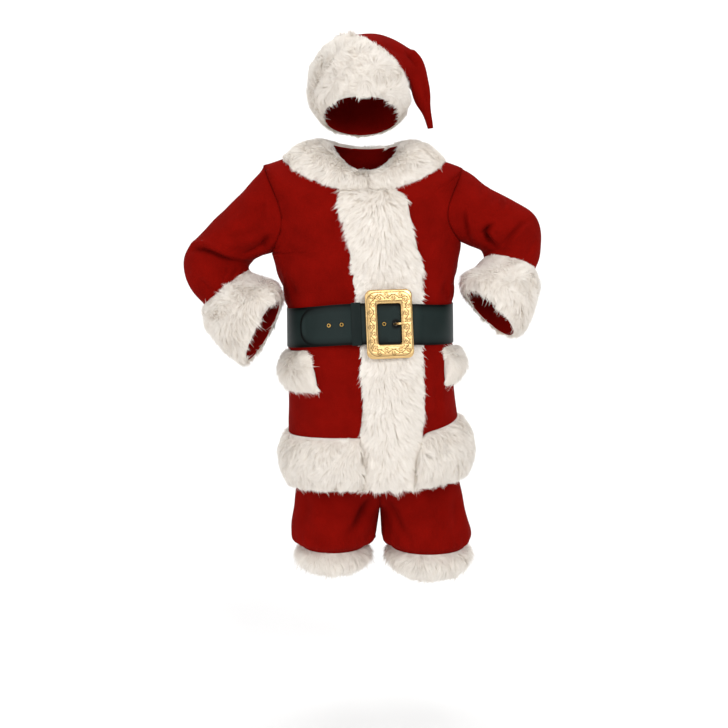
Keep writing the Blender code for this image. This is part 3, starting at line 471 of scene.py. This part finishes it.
def fold_depth(points, away, fold):
    """How far one fold moves each point out (or in, where negative), in mm."""
    across, faces, sign = SIDES[fold.side]
    flat = points[:, (across, 2)] / MM
    course = np.array(fold.course, float)
    lengths = np.linalg.norm(np.diff(course, axis=0), axis=1)
    best = np.full(len(points), np.inf)
    side = np.zeros(len(points))
    along = np.zeros(len(points))
    for k, (start, end) in enumerate(zip(course, course[1:])):
        run = (end - start) / lengths[k]
        reach = np.clip((flat - start) @ run, 0, lengths[k])
        gap = flat - (start + reach[:, None] * run)
        far = np.linalg.norm(gap, axis=1)
        closer = far < best
        best[closer] = far[closer]
        side[closer] = np.sign(run[0] * gap[closer, 1] - run[1] * gap[closer, 0])
        along[closer] = (lengths[:k].sum() + reach[closer]) / lengths.sum()
    across_fold = best * np.where(side == 0, 1, side) / fold.wide
    trough = -np.exp(-np.abs(across_fold) ** TROUGH_POWER)
    ridge = fold.ridge * np.exp(-((across_fold - RIDGE_AT) / RIDGE_WIDE) ** 2)
    ends = smooth_step(along, *FOLD_START) * smooth_step(1 - along, *FOLD_END)
    return fold.deep * (trough + ridge) * ends * smooth_step(sign * away[:, faces], *SQUARE_ON)


# ---------------- plush cloth
BELT_GATHERS, BELT_GATHER_DEPTH = 33, 2.6  # how many go round the belt, and how deep, in mm
BELT_FADE = ((3 * MM, 18 * MM), (30 * MM, 90 * MM))  # from it: they grow, then they fade out
FRONT_GATHER, TO_BACK = 0.3, (0.8, 1.6)  # share of them in front, and radians from there
KNEE_GATHERS, KNEE_GATHER_DEPTH = 23, 2.4  # the same round each knee
KNEE_FADE = ((4 * MM, 18 * MM), (30 * MM, 75 * MM))
KNEE_MIDDLES = (0.172, -0.089)  # m across: the left knee's and the right knee's
BETWEEN_LEGS = 0.025           # m across
LONGEST_EDGE = 60 * MM         # an edge longer than this is halved before refining
STILL, FREE = 1 * MM, 16 * MM  # so near what holds it cloth lies still, so far it is free
HELD_LIMIT, GATHER_LIMIT = 30 * MM, 100 * MM  # how far off it is measured
FOLD_SHADE_MOST = 0.6                  # how far the painted shade in a fold's trough goes toward its dark colour
FOLD_SHADE_DEPTHS = (2.0, 16.0)     # mm, the fold depths where that starts and where it is full
RIM_FACING = 0.82              # a vertex that faces out less than this is on a cut rim
SEAM_DIP = 0.2                 # mm that the cloth sinks where two pieces are sewn
CLOTH_SHARP, HARD_SHARP = math.radians(50), math.radians(40)  # edges over this show as edges


def slack(points):
    """Soft unevenness of cloth over a body, in mm: uneven waves 90 to 200 mm long."""
    x, y, z = (points / MM).T
    return (1.3 * np.sin(x / 23 + 1.1 * np.sin(z / 41) + 0.4) * np.sin(z / 29 + y / 37)
            + 0.9 * np.sin(z / 17 + x / 31 + 2.1) * np.sin(y / 19 - x / 43 + 0.7))


def near_belt(points, gap):
    """Uneven gathers above and below the belt, stronger at the sides and the back, in mm."""
    turn = np.arctan2(points[:, 0], -points[:, 1])
    wave = np.sin(BELT_GATHERS * turn + 2.6 * np.sin(4 * turn) + 1.3 * np.sin(9 * turn))
    strength = FRONT_GATHER + (1 - FRONT_GATHER) * smooth_step(np.abs(turn), *TO_BACK)
    starts, fades = (smooth_step(gap, *ends) for ends in BELT_FADE)
    return BELT_GATHER_DEPTH * wave * strength * starts * (1 - fades)


def near_knee(points, gap):
    """Gathers where a trouser leg is drawn in over the knee's fur, in mm."""
    centre = np.where(points[:, 0] > BETWEEN_LEGS, *KNEE_MIDDLES)
    turn = np.arctan2(points[:, 0] - centre, -points[:, 1])
    wave = np.sin(KNEE_GATHERS * turn + 2.0 * np.sin(3 * turn) + 1.1 * np.sin(7 * turn + 1))
    starts, fades = (smooth_step(gap, *ends) for ends in KNEE_FADE)
    return KNEE_GATHER_DEPTH * wave * starts * (1 - fades)


def cloth(name, inside, folds, still, level=2, gathers=None):
    """One cut piece of plush: its CAD form refined, then folded, gathered and slightly slack."""
    mesh = cad_copy(name)
    long_edges = [edge for edge in mesh.edges if edge.calc_length() > LONGEST_EDGE]
    bmesh.ops.subdivide_edges(mesh, edges=long_edges, cuts=1, use_grid_fill=True)
    data = refined(mesh, level)
    points = rows(data, "co")
    away = away_from(points, inside)
    depths = (fold_depth(points, away, Fold(*row)) for row in folds)
    folded = sum(depths, np.zeros(len(points)))
    free = smooth_step(distances(points, surface_of(*still), HELD_LIMIT), STILL, FREE)
    moved = (slack(points) + folded) * free
    for held_at, wave in (gathers or {}).items():
        moved += wave(points, distances(points, surface_of(held_at), GATHER_LIMIT))
    on_rim = np.abs((rows(data, "normal") * away).sum(axis=1)) < RIM_FACING
    moved[on_rim] -= SEAM_DIP
    place(data, points + away * (moved * MM)[:, None])
    # painted shade in the folds' troughs, darker where a fold is deeper
    carry(data, "painted_fold_shade", FOLD_SHADE_MOST * smooth_step(-folded * free, *FOLD_SHADE_DEPTHS))
    piece = show(name + "_plush", data, PLUSH, "red_plush", name)
    data.set_sharp_from_angle(angle=CLOTH_SHARP)
    return piece


PLUSH, FUR, LEATHER, CAST_GOLD, BRASS = plush(), fur(), belt_leather(), cast_gold(), eyelet_brass()
HOLD_JACKET = ("collar_fur", "placket_fur", "hem_fur", "pocket_fur_right", "pocket_fur_left",
               "belt_strap", "sleeve_right", "sleeve_left")
for name in ("jacket_back", "jacket_front_right", "jacket_front_left"):
    cloth(name, INSIDE_JACKET, JACKET_FOLDS, HOLD_JACKET,
                         gathers={"belt_strap": near_belt})
for side, folds in (("right", SLEEVE_RIGHT_FOLDS), ("left", SLEEVE_LEFT_FOLDS)):
    name = "sleeve_" + side
    cloth(name, INSIDE_SLEEVE[name], folds,
                         ("cuff_fur_" + side, "jacket_back", "jacket_front_" + side), level=3)
for side in ("right", "left"):
    name, knee = "trouser_leg_" + side, "knee_fur_" + side
    cloth(name, INSIDE_LEG[name], TROUSER_FOLDS, (knee, "trouser_waistband"),
                         gathers={knee: near_knee})
cloth("trouser_waistband", INSIDE_JACKET, [], ("jacket_back",),
                                    level=1)
cloth("hat_crown", INSIDE_HAT, HAT_FOLDS, ("hat_fur",))


# ---------------- fur
TRIM_HIGH = 60 * MM            # no trim is higher than this over the cloth
PILE_DEPTH = 10 * MM           # how far below the tips the fur's backing lies, at most
PILE_SHARE = 0.45              # ... and at most this share of the trim's height over the cloth
LOWEST_PILE = 1.5 * MM         # a trim's skin lower than this over the cloth stays there
TUFTS, SMALL_TUFTS = 38, 90    # soft tufts to a metre
LUMP_DEPTH = 3.2 * MM          # how far the hollows between them sink
LUMP_SHARE = 0.2               # ... and at most this share of the trim's height
ROOTS_FROM = 0.6 * MM          # blades grow where the backing lies at least this deep
BLADE_RISE = 1.5 * MM          # how far a blade's tip stands up over the trim's outline
RISES = (0.85, 1.15)           # the pile's depth under it times a share between these
BLADE_REACH = 10 * MM          # how far its tip lies from its root, in the shallowest pile
BLADE_GROWS = 6 * MM           # ... and how much further in the deepest
REACHES = (0.6, 1.35)          # ... times a share between these
STRAYS, STRAY_REACH = 0.08, 1.8  # share of the blades that reach further; how many times
UNCOMBED = 0.12                # how unevenly single blades lie
BLADES_A_LOCK = 22
LOCK_ASTRAY = 1.1 * MM         # how far the locks' tips are moved apart
LOCK_FLAT = 0.6                # share of that move's upward part that is taken out again
LOCK_REACH = 6 * MM            # from a lock's middle to its side
LOCK_SHADE = 0.2               # how round a lock of blades looks
BLADE_SHADE = 0.08             # how much single blades differ in shade
BLADE_BEND = 0.22              # how far a blade's middle stands up, as a share of its rise
BLADE_HALF = (0.5, 0.95)       # mm, half a blade's width at its root
MIDDLE_WIDE = 0.8              # its middle's width, as a share of that
BLADE_ROLL = 0.7               # radians that a blade is turned about its length, at most
ROOT_SUNK = 1.0 * MM           # how far a blade's root goes into the backing
CLEAR, CLEAR_LIMIT = 1.2 * MM, 3 * MM  # how far blades keep from the belt; how far is seen
SIDE_SLANT = 0.3               # where a trim's skin leans out more than this, it is a side
ACROSS_SEAM = 4 * MM           # how far from such a side the next trim may stand
SEAM_UP = 3 * MM               # ... measured this high over the cloth
SKIN_PILE, BLADE_PILE = 0.5, (0.4, 0.4, 0.8, 0.8, 1.0)  # 0 has the roots' painted shade, 1 the tips' colour
SKIN_TONE, LOCK_TONES = 0.8, (0.2, 1.3)  # 0 is the lightest tip, higher is greyer


def swirl_at(points):
    """The way that pile has been stroked, changing every 40 to 90 mm."""
    x, y, z = (points / MM).T
    return np.stack([np.sin(z / 13 + 2 * np.sin(x / 21) + y / 17),
                     np.sin(x / 15 + 2 * np.sin(z / 19)),
                     np.sin(x / 12 - z / 16 + 2 * np.sin(y / 23))], axis=1)


def tufting(points):
    """How far up a soft tuft each point lies: 0 in the hollows, 1 on top; tufts 25 mm apart."""
    found = [noise.noise(Vector(p) * TUFTS) + 0.5 * noise.noise(Vector(p) * SMALL_TUFTS)
             for p in points]
    return smooth_step(np.array(found), -0.6, 0.6)


def facing(points, up):
    """The way that the tufted pile faces, from how its height changes along it."""
    step = 1.5 * MM
    here = tufting(points)
    slope = np.stack([(tufting(points + step * axis) - here) / step for axis in np.eye(3)], axis=1)
    return unit(up - LUMP_DEPTH * flattened(slope, up))


def on_cloth(points, turned):
    """Where on the cloth each point of a trim stands, and the way up from there."""
    foot = points - turned * TRIM_HIGH
    for k, point in enumerate(points):
        hit = ALL_PLUSH.find_nearest(Vector(point), TRIM_HIGH)
        if hit[0] is not None:
            foot[k] = hit[0]
    return foot, unit(points - foot)


def meets_fur(foot, turned, away):
    """True where a trim's side stands against another trim, or against its own other end."""
    side = flattened(turned, away)
    slant = np.linalg.norm(side, axis=1)
    met = np.zeros(len(foot), bool)
    for k in np.flatnonzero(slant > SIDE_SLANT):
        way = Vector(side[k] / slant[k])
        start = Vector(foot[k] + SEAM_UP * away[k])
        for _ in range(2):     # out of the trim itself, then into the next
            hit, normal, _index, _gap = ALL_FUR.ray_cast(start, way, ACROSS_SEAM)
            if hit is None:
                break
            if normal.dot(way) < 0:
                met[k] = True
                break
            start = hit + way * 0.01 * MM
    return met


def backing(name):
    """A trim's backing: its CAD form sunk by the depth of its pile, deeper between the tufts.
    Also its points, the way out at each, and the depth of the pile over each."""
    skin = refined(cad_copy(name), 2, rim=75)
    points, turned = rows(skin, "co"), rows(skin, "normal")
    foot, away = on_cloth(points, turned)
    height = np.linalg.norm(points - foot, axis=1)
    depth = np.where(height > LOWEST_PILE, np.minimum(PILE_SHARE * height, PILE_DEPTH), 0)
    lump = np.minimum(LUMP_DEPTH, LUMP_SHARE * height) * (1 - tufting(points)) * (depth > 0)
    down = np.where(meets_fur(foot, turned, away)[:, None], away, turned)
    points = points - down * (depth + lump)[:, None]
    place(skin, points)
    return skin, points, turned, depth


def sown(skin, points, depth, blades, random):
    """Random places where a backing has pile: for each blade three vertices, and their weights."""
    skin.calc_loop_triangles()
    corners = np.empty(len(skin.loop_triangles) * 3, np.int32)
    skin.loop_triangles.foreach_get("vertices", corners)
    corners = corners.reshape(-1, 3)
    corners = corners[depth[corners].min(axis=1) > ROOTS_FROM]
    edges = points[corners[:, 1:]] - points[corners[:, :1]]
    areas = np.linalg.norm(np.cross(edges[:, 0], edges[:, 1]), axis=1)
    chosen = random.choice(len(corners), blades, p=areas / areas.sum())
    return corners[chosen], random.dirichlet((1, 1, 1), blades)


def crossed(starts, ends, tree):
    """True where the straight way between two points goes through a surface."""
    ways = ends - starts
    pairs = zip(starts, ways, np.linalg.norm(ways, axis=1))
    return np.array([tree.ray_cast(Vector(start), Vector(way), length)[0] is not None
                     for start, way, length in pairs])


def clear_of(nodes, root, middle, tip):
    """True for the blades that neither cross the nodes' surfaces nor come close to them."""
    hard = surface_of(*nodes)
    gaps = np.minimum(distances(tip, hard, CLEAR_LIMIT), distances(middle, hard, CLEAR_LIMIT))
    return (gaps > CLEAR) & ~(crossed(root, middle, hard) | crossed(middle, tip, hard))


def with_blades(name, skin, points, five):
    """A backing and its blades as one mesh: each blade is a quad and a triangle on its end."""
    faces = np.empty(len(skin.loops), np.int32)
    skin.loops.foreach_get("vertex_index", faces)
    first = len(points) + 5 * np.arange(len(five))[:, None]
    quads = np.concatenate([faces.reshape(-1, 4), first + np.array([0, 1, 2, 3])])
    triangles = first + np.array([3, 2, 4])
    every = np.concatenate([points, five.reshape(-1, 3)])
    data = bpy.data.meshes.new(name)
    corners = np.concatenate([quads.ravel(), triangles.ravel()]).astype(np.int32)
    starts = np.concatenate([4 * np.arange(len(quads)),
                             4 * len(quads) + 3 * np.arange(len(triangles))]).astype(np.int32)
    data.vertices.add(len(every))
    data.vertices.foreach_set("co", every.ravel())
    data.loops.add(len(corners))
    data.loops.foreach_set("vertex_index", corners)
    data.polygons.add(len(starts))
    data.polygons.foreach_set("loop_start", starts)
    data.update(calc_edges=True)
    return data


def fur_trim(name, blades, lean, swirl, seed, long=1.0, draw=0.2, clear=None):
    """A fur trim: its backing, and tapering blades that stand out of it, lean over by `lean`
    and `swirl`, and draw together in locks by the share `draw`."""
    random = np.random.default_rng(seed)
    skin, points, turned, depths = backing(name)
    spots, weights = sown(skin, points, depths, blades, random)

    def at_roots(values):
        return np.einsum("ij,ij...->i...", weights, values[spots])
    root, up, depth = at_roots(points), unit(at_roots(turned)), at_roots(depths)

    flow = lean(root) + swirl * swirl_at(root) + UNCOMBED * random.normal(size=(blades, 3))
    flow = unit(flattened(flow, up))
    rise = depth * random.uniform(*RISES, blades) + BLADE_RISE
    reach = long * (BLADE_REACH + BLADE_GROWS * depth / PILE_DEPTH)
    reach *= random.uniform(*REACHES, blades)
    reach *= np.where(random.random(blades) < STRAYS, STRAY_REACH, 1.0)
    tip = root + up * rise[:, None] + flow * reach[:, None]

    heads = random.choice(blades, blades // BLADES_A_LOCK, replace=False)
    near = KDTree(len(heads))
    for k, head in enumerate(heads):
        near.insert(root[head], k)
    near.balance()
    lock = np.array([near.find(p)[1] for p in root])
    astray = random.normal(scale=LOCK_ASTRAY, size=(len(heads), 3))[lock]
    tip += draw * (tip[heads][lock] - tip) + flattened(astray, up, LOCK_FLAT)
    middle = root + (tip - root) * 0.5 + up * (BLADE_BEND * rise)[:, None]
    beside = (root - root[heads][lock]) / LOCK_REACH
    if clear:
        keep = clear_of(clear, root, middle, tip)
        root, up, tip, middle, lock, beside = (
            kept[keep] for kept in (root, up, tip, middle, lock, beside))
        blades = len(root)

    along = unit(tip - root)
    broad = unit(np.cross(along, up))
    roll = random.uniform(-BLADE_ROLL, BLADE_ROLL, blades)[:, None]
    broad = broad * np.cos(roll) + np.cross(broad, along) * np.sin(roll)
    wide = random.uniform(*BLADE_HALF, blades)[:, None] * MM
    broad *= np.where((np.cross(broad, along) * up).sum(axis=1, keepdims=True) < 0, -1, 1)
    root = root - up * ROOT_SUNK
    five = np.stack([root - broad * wide, root + broad * wide,
                     middle + broad * wide * MIDDLE_WIDE, middle - broad * wide * MIDDLE_WIDE,
                     tip], axis=1)
    nap = unit(facing(root, up) + LOCK_SHADE * np.clip(beside, -1, 1)
               + BLADE_SHADE * random.normal(size=(blades, 3)))
    tone = random.uniform(*LOCK_TONES, len(heads))[lock]

    data = with_blades(name + "_pile", skin, points, five)
    bpy.data.meshes.remove(skin)
    # painted shade deep in the pile: the backing and the blades' roots are coloured darker than
    # the tips
    carry(data, "pile", np.append(np.full(len(points), SKIN_PILE), np.tile(BLADE_PILE, blades)))
    carry(data, "tuft", np.append(np.full(len(points), SKIN_TONE), np.repeat(tone, 5)))
    ways = np.concatenate([facing(points, turned), np.repeat(nap, 5, axis=0)])
    data.attributes.new("nap", "FLOAT_VECTOR", "POINT").data.foreach_set("vector", ways.ravel())
    return show(name + "_pile", data, FUR, "white_fur", name)


def downward(sideways, middle=0.0, half=90.0):
    """Pile that hangs, and parts to both sides of a middle line; middle and half in mm."""
    def lean(root):
        share = np.clip((root[:, 0] / MM - middle) / half, -1, 1)
        return np.stack([sideways * share, 0 * share, -np.ones_like(share)], axis=1)
    return lean


def outward_from(centre, fall):
    """Pile that spreads from a point (mm), falling a little."""
    def lean(root):
        return unit(root - np.array(centre) * MM) + np.array([0, 0, -fall])
    return lean


def to_both_ends(start, end, fall=0.4, strength=1.0):
    """Pile that parts halfway between two points (mm) of a cuff's or a hat's axis, falling."""
    start, end = np.array((start, end)) * MM
    half = np.linalg.norm(end - start) / 2
    run = (end - start) / np.linalg.norm(end - start)

    def lean(root):
        share = np.clip(((root - start) @ run - half) / half, -1, 1)
        return strength * share[:, None] * run + np.array([0, 0, -fall])
    return lean


ALL_PLUSH = surface_of(
    "jacket_back", "jacket_front_right", "jacket_front_left", "sleeve_right", "sleeve_left",
    "trouser_waistband", "trouser_leg_right", "trouser_leg_left", "hat_crown")
ALL_FUR = surface_of("collar_fur", "placket_fur", "hem_fur")
BELT_PARTS = ("belt_strap", "belt_keeper", "belt_buckle", "buckle_prong")
# Node, blades, lean, swirl, seed, length; for the placket also draw and what it keeps clear of.
FUR_TRIMS = (
    ("collar_fur", 21000, outward_from((0, 10, 60), 0.3), 0.7, 11, 1.1),
    ("placket_fur", 29000, downward(1.3, 44), 0.35, 12, 1.6, 0.4, BELT_PARTS),
    ("hem_fur", 35500, downward(0.2), 0.5, 13, 1.25),
    ("cuff_fur_right", 18500, to_both_ends((-370, 2, -350), (-266, -108, -451)), 0.5, 14, 1.4),
    ("cuff_fur_left", 17000, to_both_ends((379, -1, -288), (322, -82, -408)), 0.5, 15, 1.4),
    ("pocket_fur_right", 6000, outward_from((-185, -90, -550), 0.4), 0.4, 16, 1.6),
    ("pocket_fur_left", 4800, outward_from((215, -60, -530), 0.4), 0.4, 17, 1.6),
    ("knee_fur_right", 10500, downward(0.2, -89), 0.4, 18, 1.6),
    ("knee_fur_left", 13000, downward(0.2, 178), 0.4, 19, 1.6),
    ("hat_fur", 25000, to_both_ends((-12, -6, 94), (10, 42, 223), 0.1, 0.8), 0.65, 20, 1.2),
)
for name, *pile in FUR_TRIMS:
    fur_trim(name, *pile)


# ---------------- belt
INK_WIDE, INK_ENDS = 5.6 * MM, 1.0 * MM  # the strap's inked edge, and how softly it ends
BELT_AXIS = Vector((5, -20, 0)) * MM
FRONT_FACING = 0.6             # a face that looks away from it more than this is in front


def strap():
    """The belt's strap: its front face ringed by a turned edge, inked black."""
    mesh = cad_copy("belt_strap")
    edge_ink = mesh.verts.layers.float.new("edge")
    for vert in mesh.verts:
        vert[edge_ink] = 1
    front = []
    for face in mesh.faces:
        out = face.calc_center_median() - BELT_AXIS
        out.z = 0
        if face.normal.dot(out.normalized()) > FRONT_FACING:
            front.append(face)
    for thickness in (INK_WIDE, INK_ENDS):
        bmesh.ops.inset_region(mesh, faces=front, thickness=thickness, depth=0,
                               use_even_offset=True, use_boundary=True)
    for face in front:
        for vert in face.verts:
            vert[edge_ink] = 0
    data = refined(mesh, 2)
    show("belt_strap_leather", data, LEATHER, "belt_leather", "belt_strap")
    data.set_sharp_from_angle(angle=HARD_SHARP)


def softened(name, suffix, width, material, slot):
    """A stiff small piece with its edges rounded over."""
    mesh = cad_copy(name)
    bmesh.ops.bevel(mesh, geom=rim_edges(mesh, 35), offset=width, affect="EDGES", segments=2,
                    profile=0.5, material=-1)
    data = as_data(mesh, name + suffix)
    show(name + suffix, data, material, slot, name)
    data.set_sharp_from_angle(angle=HARD_SHARP)
    return data


# The buckle lies on the placket: its middle, which way is across it and which way is up it.
BUCKLE_MIDDLE = Vector((58.1, -182.2, -426.4)) * MM
BUCKLE_ACROSS = Vector((0.9889, 0.1481, 0.0145))
BUCKLE_UP = Vector((-0.0408, 0.1764, 0.9835))
FRAME_HALF = (45.0, 69.0)      # mm from its middle to the middle of its frame, across and up
FRAME_CORNER = 13.0            # mm, radius of that line's corners
SCROLLS = 12                   # waves of the vine, all round
VINE_SWING = 4.2               # mm that the vine swings to each side of the frame's middle line
BORDER = 11.4                  # mm from that line to the plain line along each side
CURL_HUB, CURL = 3.4, 6.2      # mm: a curl's middle beside that line, and the curl's radius
CURL_START, CURL_WINDS = 0.15, 2.7  # half turns: where a curl starts, and how far it winds
CURL_IN = 0.8                  # ... and the share of its radius that it winds in by
LEAF_AT, LEAF_LONG = (5, 7.4), 3.4  # mm: a leaf's root along and beside a curl; its length
VINE_POINTS, CURL_POINTS, LEAF_POINTS = 1600, 70, 16  # that stand for each line
LINE_HALF, LINE_DEEP = 0.85, 0.55  # mm: half an engraved line's width, and its depth
ENGRAVED_ON = (0.35, 0.8)      # how squarely a face looks out to have none, or all, of it
CAST_FINE = 1.2 * MM           # size of the buckle's faces


def frame_line(along):
    """Points of the middle line of the buckle's frame, in mm, and the directions across it."""
    a, b, r = FRAME_HALF[0] - FRAME_CORNER, FRAME_HALF[1] - FRAME_CORNER, FRAME_CORNER
    quarter = np.pi / 2 * r
    runs = [("line", (a + r, -b), (0, 1), 2 * b), ("turn", (a, b), 0, quarter),
            ("line", (a, b + r), (-1, 0), 2 * a), ("turn", (-a, b), 1, quarter),
            ("line", (-a - r, b), (0, -1), 2 * b), ("turn", (-a, -b), 2, quarter),
            ("line", (-a, -b - r), (1, 0), 2 * a), ("turn", (a, -b), 3, quarter)]
    total = sum(run[3] for run in runs)
    where = np.mod(along, 1.0) * total
    point, out = np.zeros((len(where), 2)), np.zeros((len(where), 2))
    start = 0.0
    for kind, origin, way, length in runs:
        here = (where >= start) & (where < start + length)
        far = where[here] - start
        if kind == "line":
            point[here] = np.array(origin) + far[:, None] * np.array(way)
            out[here] = (way[1], -way[0])
        else:
            angle = way * np.pi / 2 + far / r
            out[here] = np.stack([np.cos(angle), np.sin(angle)], axis=1)
            point[here] = np.array(origin) + r * out[here]
        start += length
    return point, out


def scrollwork():
    """Points along the engraved lines of a plain running vine with curls, in mm."""
    along = np.linspace(0, 1, VINE_POINTS, endpoint=False)
    middle, out = frame_line(along)
    lines = [middle + out * (VINE_SWING * np.sin(2 * np.pi * SCROLLS * along))[:, None],
             middle + out * BORDER, middle - out * BORDER]
    turn = np.linspace(0, 1, CURL_POINTS)
    for k in range(2 * SCROLLS):
        side = 1 if k % 2 else -1
        centre, outward = (found[0] for found in frame_line(np.full(1, (k + 0.5) / (2 * SCROLLS))))
        forward = np.array([-outward[1], outward[0]])
        hub = centre + side * CURL_HUB * outward
        radius = (CURL * (1 - CURL_IN * turn))[:, None]
        angle = (np.pi * (CURL_START + CURL_WINDS * turn) * side)[:, None]
        lines.append(hub + radius * (np.cos(angle) * forward + np.sin(angle) * outward))
        for leaf in (-0.5, 0.5):  # two small leaves beside each curl
            root = hub - side * outward * LEAF_AT[1] + forward * leaf * LEAF_AT[0]
            reach = np.linspace(0, LEAF_LONG, LEAF_POINTS)[:, None]
            lines.append(root + reach * (forward * leaf * 1.6 - side * outward * 0.5))
    return np.concatenate(lines)


def buckle():
    """The cast buckle, evenly fine all over, its front engraved with scrollwork."""
    data = modified(cad_copy("belt_buckle"), "REMESH", mode="VOXEL", voxel_size=CAST_FINE,
                    use_smooth_shade=True)
    points = rows(data, "co")
    across, up = np.array(BUCKLE_ACROSS), np.array(BUCKLE_UP)
    out = -np.array(BUCKLE_UP.cross(BUCKLE_ACROSS))
    flat = (points - np.array(BUCKLE_MIDDLE)) / MM @ np.stack([across, up], axis=1)
    lines = scrollwork()
    near = KDTree(len(lines))
    for k, (u, v) in enumerate(lines):
        near.insert((u, v, 0), k)
    near.balance()
    gap = np.array([near.find((u, v, 0))[2] for u, v in flat])
    shown = smooth_step(rows(data, "normal") @ out, *ENGRAVED_ON)
    cut = np.exp(-(gap / LINE_HALF) ** 2) * shown
    place(data, points - out * (cut * LINE_DEEP * MM)[:, None])
    carry(data, "engraved", cut)
    show("belt_buckle_cast", data, CAST_GOLD, "gold_cast", "belt_buckle")


# How far from its middle an eyelet's painted barrel shade ends, and its bare brass lip starts.
EYELET_BARREL, EYELET_LIP = 2.7 * MM, 4.2 * MM


def brass(name):
    """An eyelet as it is in CAD, with its own brass on it."""
    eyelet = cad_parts[name]
    points = rows(eyelet.data, "co")
    reach = np.linalg.norm(points - points.mean(axis=0), axis=1)
    # painted shade in the barrel, bare brass on the lip
    carry(eyelet.data, "lip", smooth_step(reach, EYELET_BARREL, EYELET_LIP))
    if eyelet.material_slots:
        eyelet.material_slots[0].material = BRASS
    else:
        eyelet.data.materials.append(BRASS)


strap()
keeper = softened("belt_keeper", "_leather", 0.8 * MM, LEATHER, "belt_leather")
carry(keeper, "edge", np.full(len(keeper.vertices), 0.4))  # lightly inked all over
buckle()
softened("buckle_prong", "_cast", 0.9 * MM, CAST_GOLD, "gold_cast")
for name in ("eyelet_1", "eyelet_2", "eyelet_3"):
    brass(name)

# ---------------- studio
FLOOR = -1.51                  # m, where the wearer's soles would stand
PAPER_HALF = 6.0               # m, half the paper's width
BEND_AT, BEND_RADIUS = 2.0, 1.6  # m behind the suit where the paper bends up, and how wide
CAMERA_AT = (-0.0053, -3.2, -0.05)
CAMERA_LENS = 59.74            # mm, on a sensor 36 mm wide
CAMERA_TILT = 81.0             # degrees up from straight down


def paper_sweep():
    """A roll of white paper that runs along the floor and curves up behind."""
    mesh = bmesh.new()
    bmesh.ops.create_grid(mesh, x_segments=2, y_segments=60, size=PAPER_HALF)
    for vert in mesh.verts:
        past = max(vert.co.y - BEND_AT, 0)
        angle = min(past / BEND_RADIUS, math.pi / 2)
        wall = max(past - BEND_RADIUS * math.pi / 2, 0)
        vert.co.z = FLOOR + BEND_RADIUS * (1 - math.cos(angle)) + wall
        vert.co.y = min(vert.co.y, BEND_AT) + BEND_RADIUS * math.sin(angle)
    data = as_data(mesh, "paper_sweep")
    data.materials.append(studio_white())
    data.shade_smooth()
    sweep = stand("paper_sweep", data)


def softbox(name, at, aim, size, power):
    """A square softbox: where it stands and what it lights (m), its side (m) and its watts."""
    light = bpy.data.lights.new(name, "AREA")
    light.shape = "SQUARE"
    light.size = size
    light.energy = power
    holder = stand(name, light)
    holder.location = at
    holder.rotation_euler = (Vector(aim) - Vector(at)).to_track_quat("-Z", "Y").to_euler()


def camera():
    view = bpy.data.cameras.new("camera")
    view.sensor_width = 36.0
    view.lens = CAMERA_LENS
    holder = stand("camera", view)
    holder.location = CAMERA_AT
    holder.rotation_euler = (math.radians(CAMERA_TILT), 0, 0)
    bpy.context.scene.camera = holder


def white_room(strength):
    world = bpy.data.worlds.new("studio")
    bpy.context.scene.world = world
    world.use_nodes = True
    background = world.node_tree.nodes["Background"]
    background.inputs["Color"].default_value = (1, 1, 1, 1)
    background.inputs["Strength"].default_value = strength


paper_sweep()
softbox("key", (1.7, -3.0, 1.5), (0.05, 0, -0.45), 1.8, 60)
softbox("fill", (-2.4, -2.8, 0.7), (0, 0, -0.4), 2.2, 38)
softbox("paper_light", (0, 1.2, 2.6), (0, 3.4, -0.6), 2.4, 60)
white_room(0.7)
bpy.context.scene.view_settings.view_transform = "Standard"
camera()
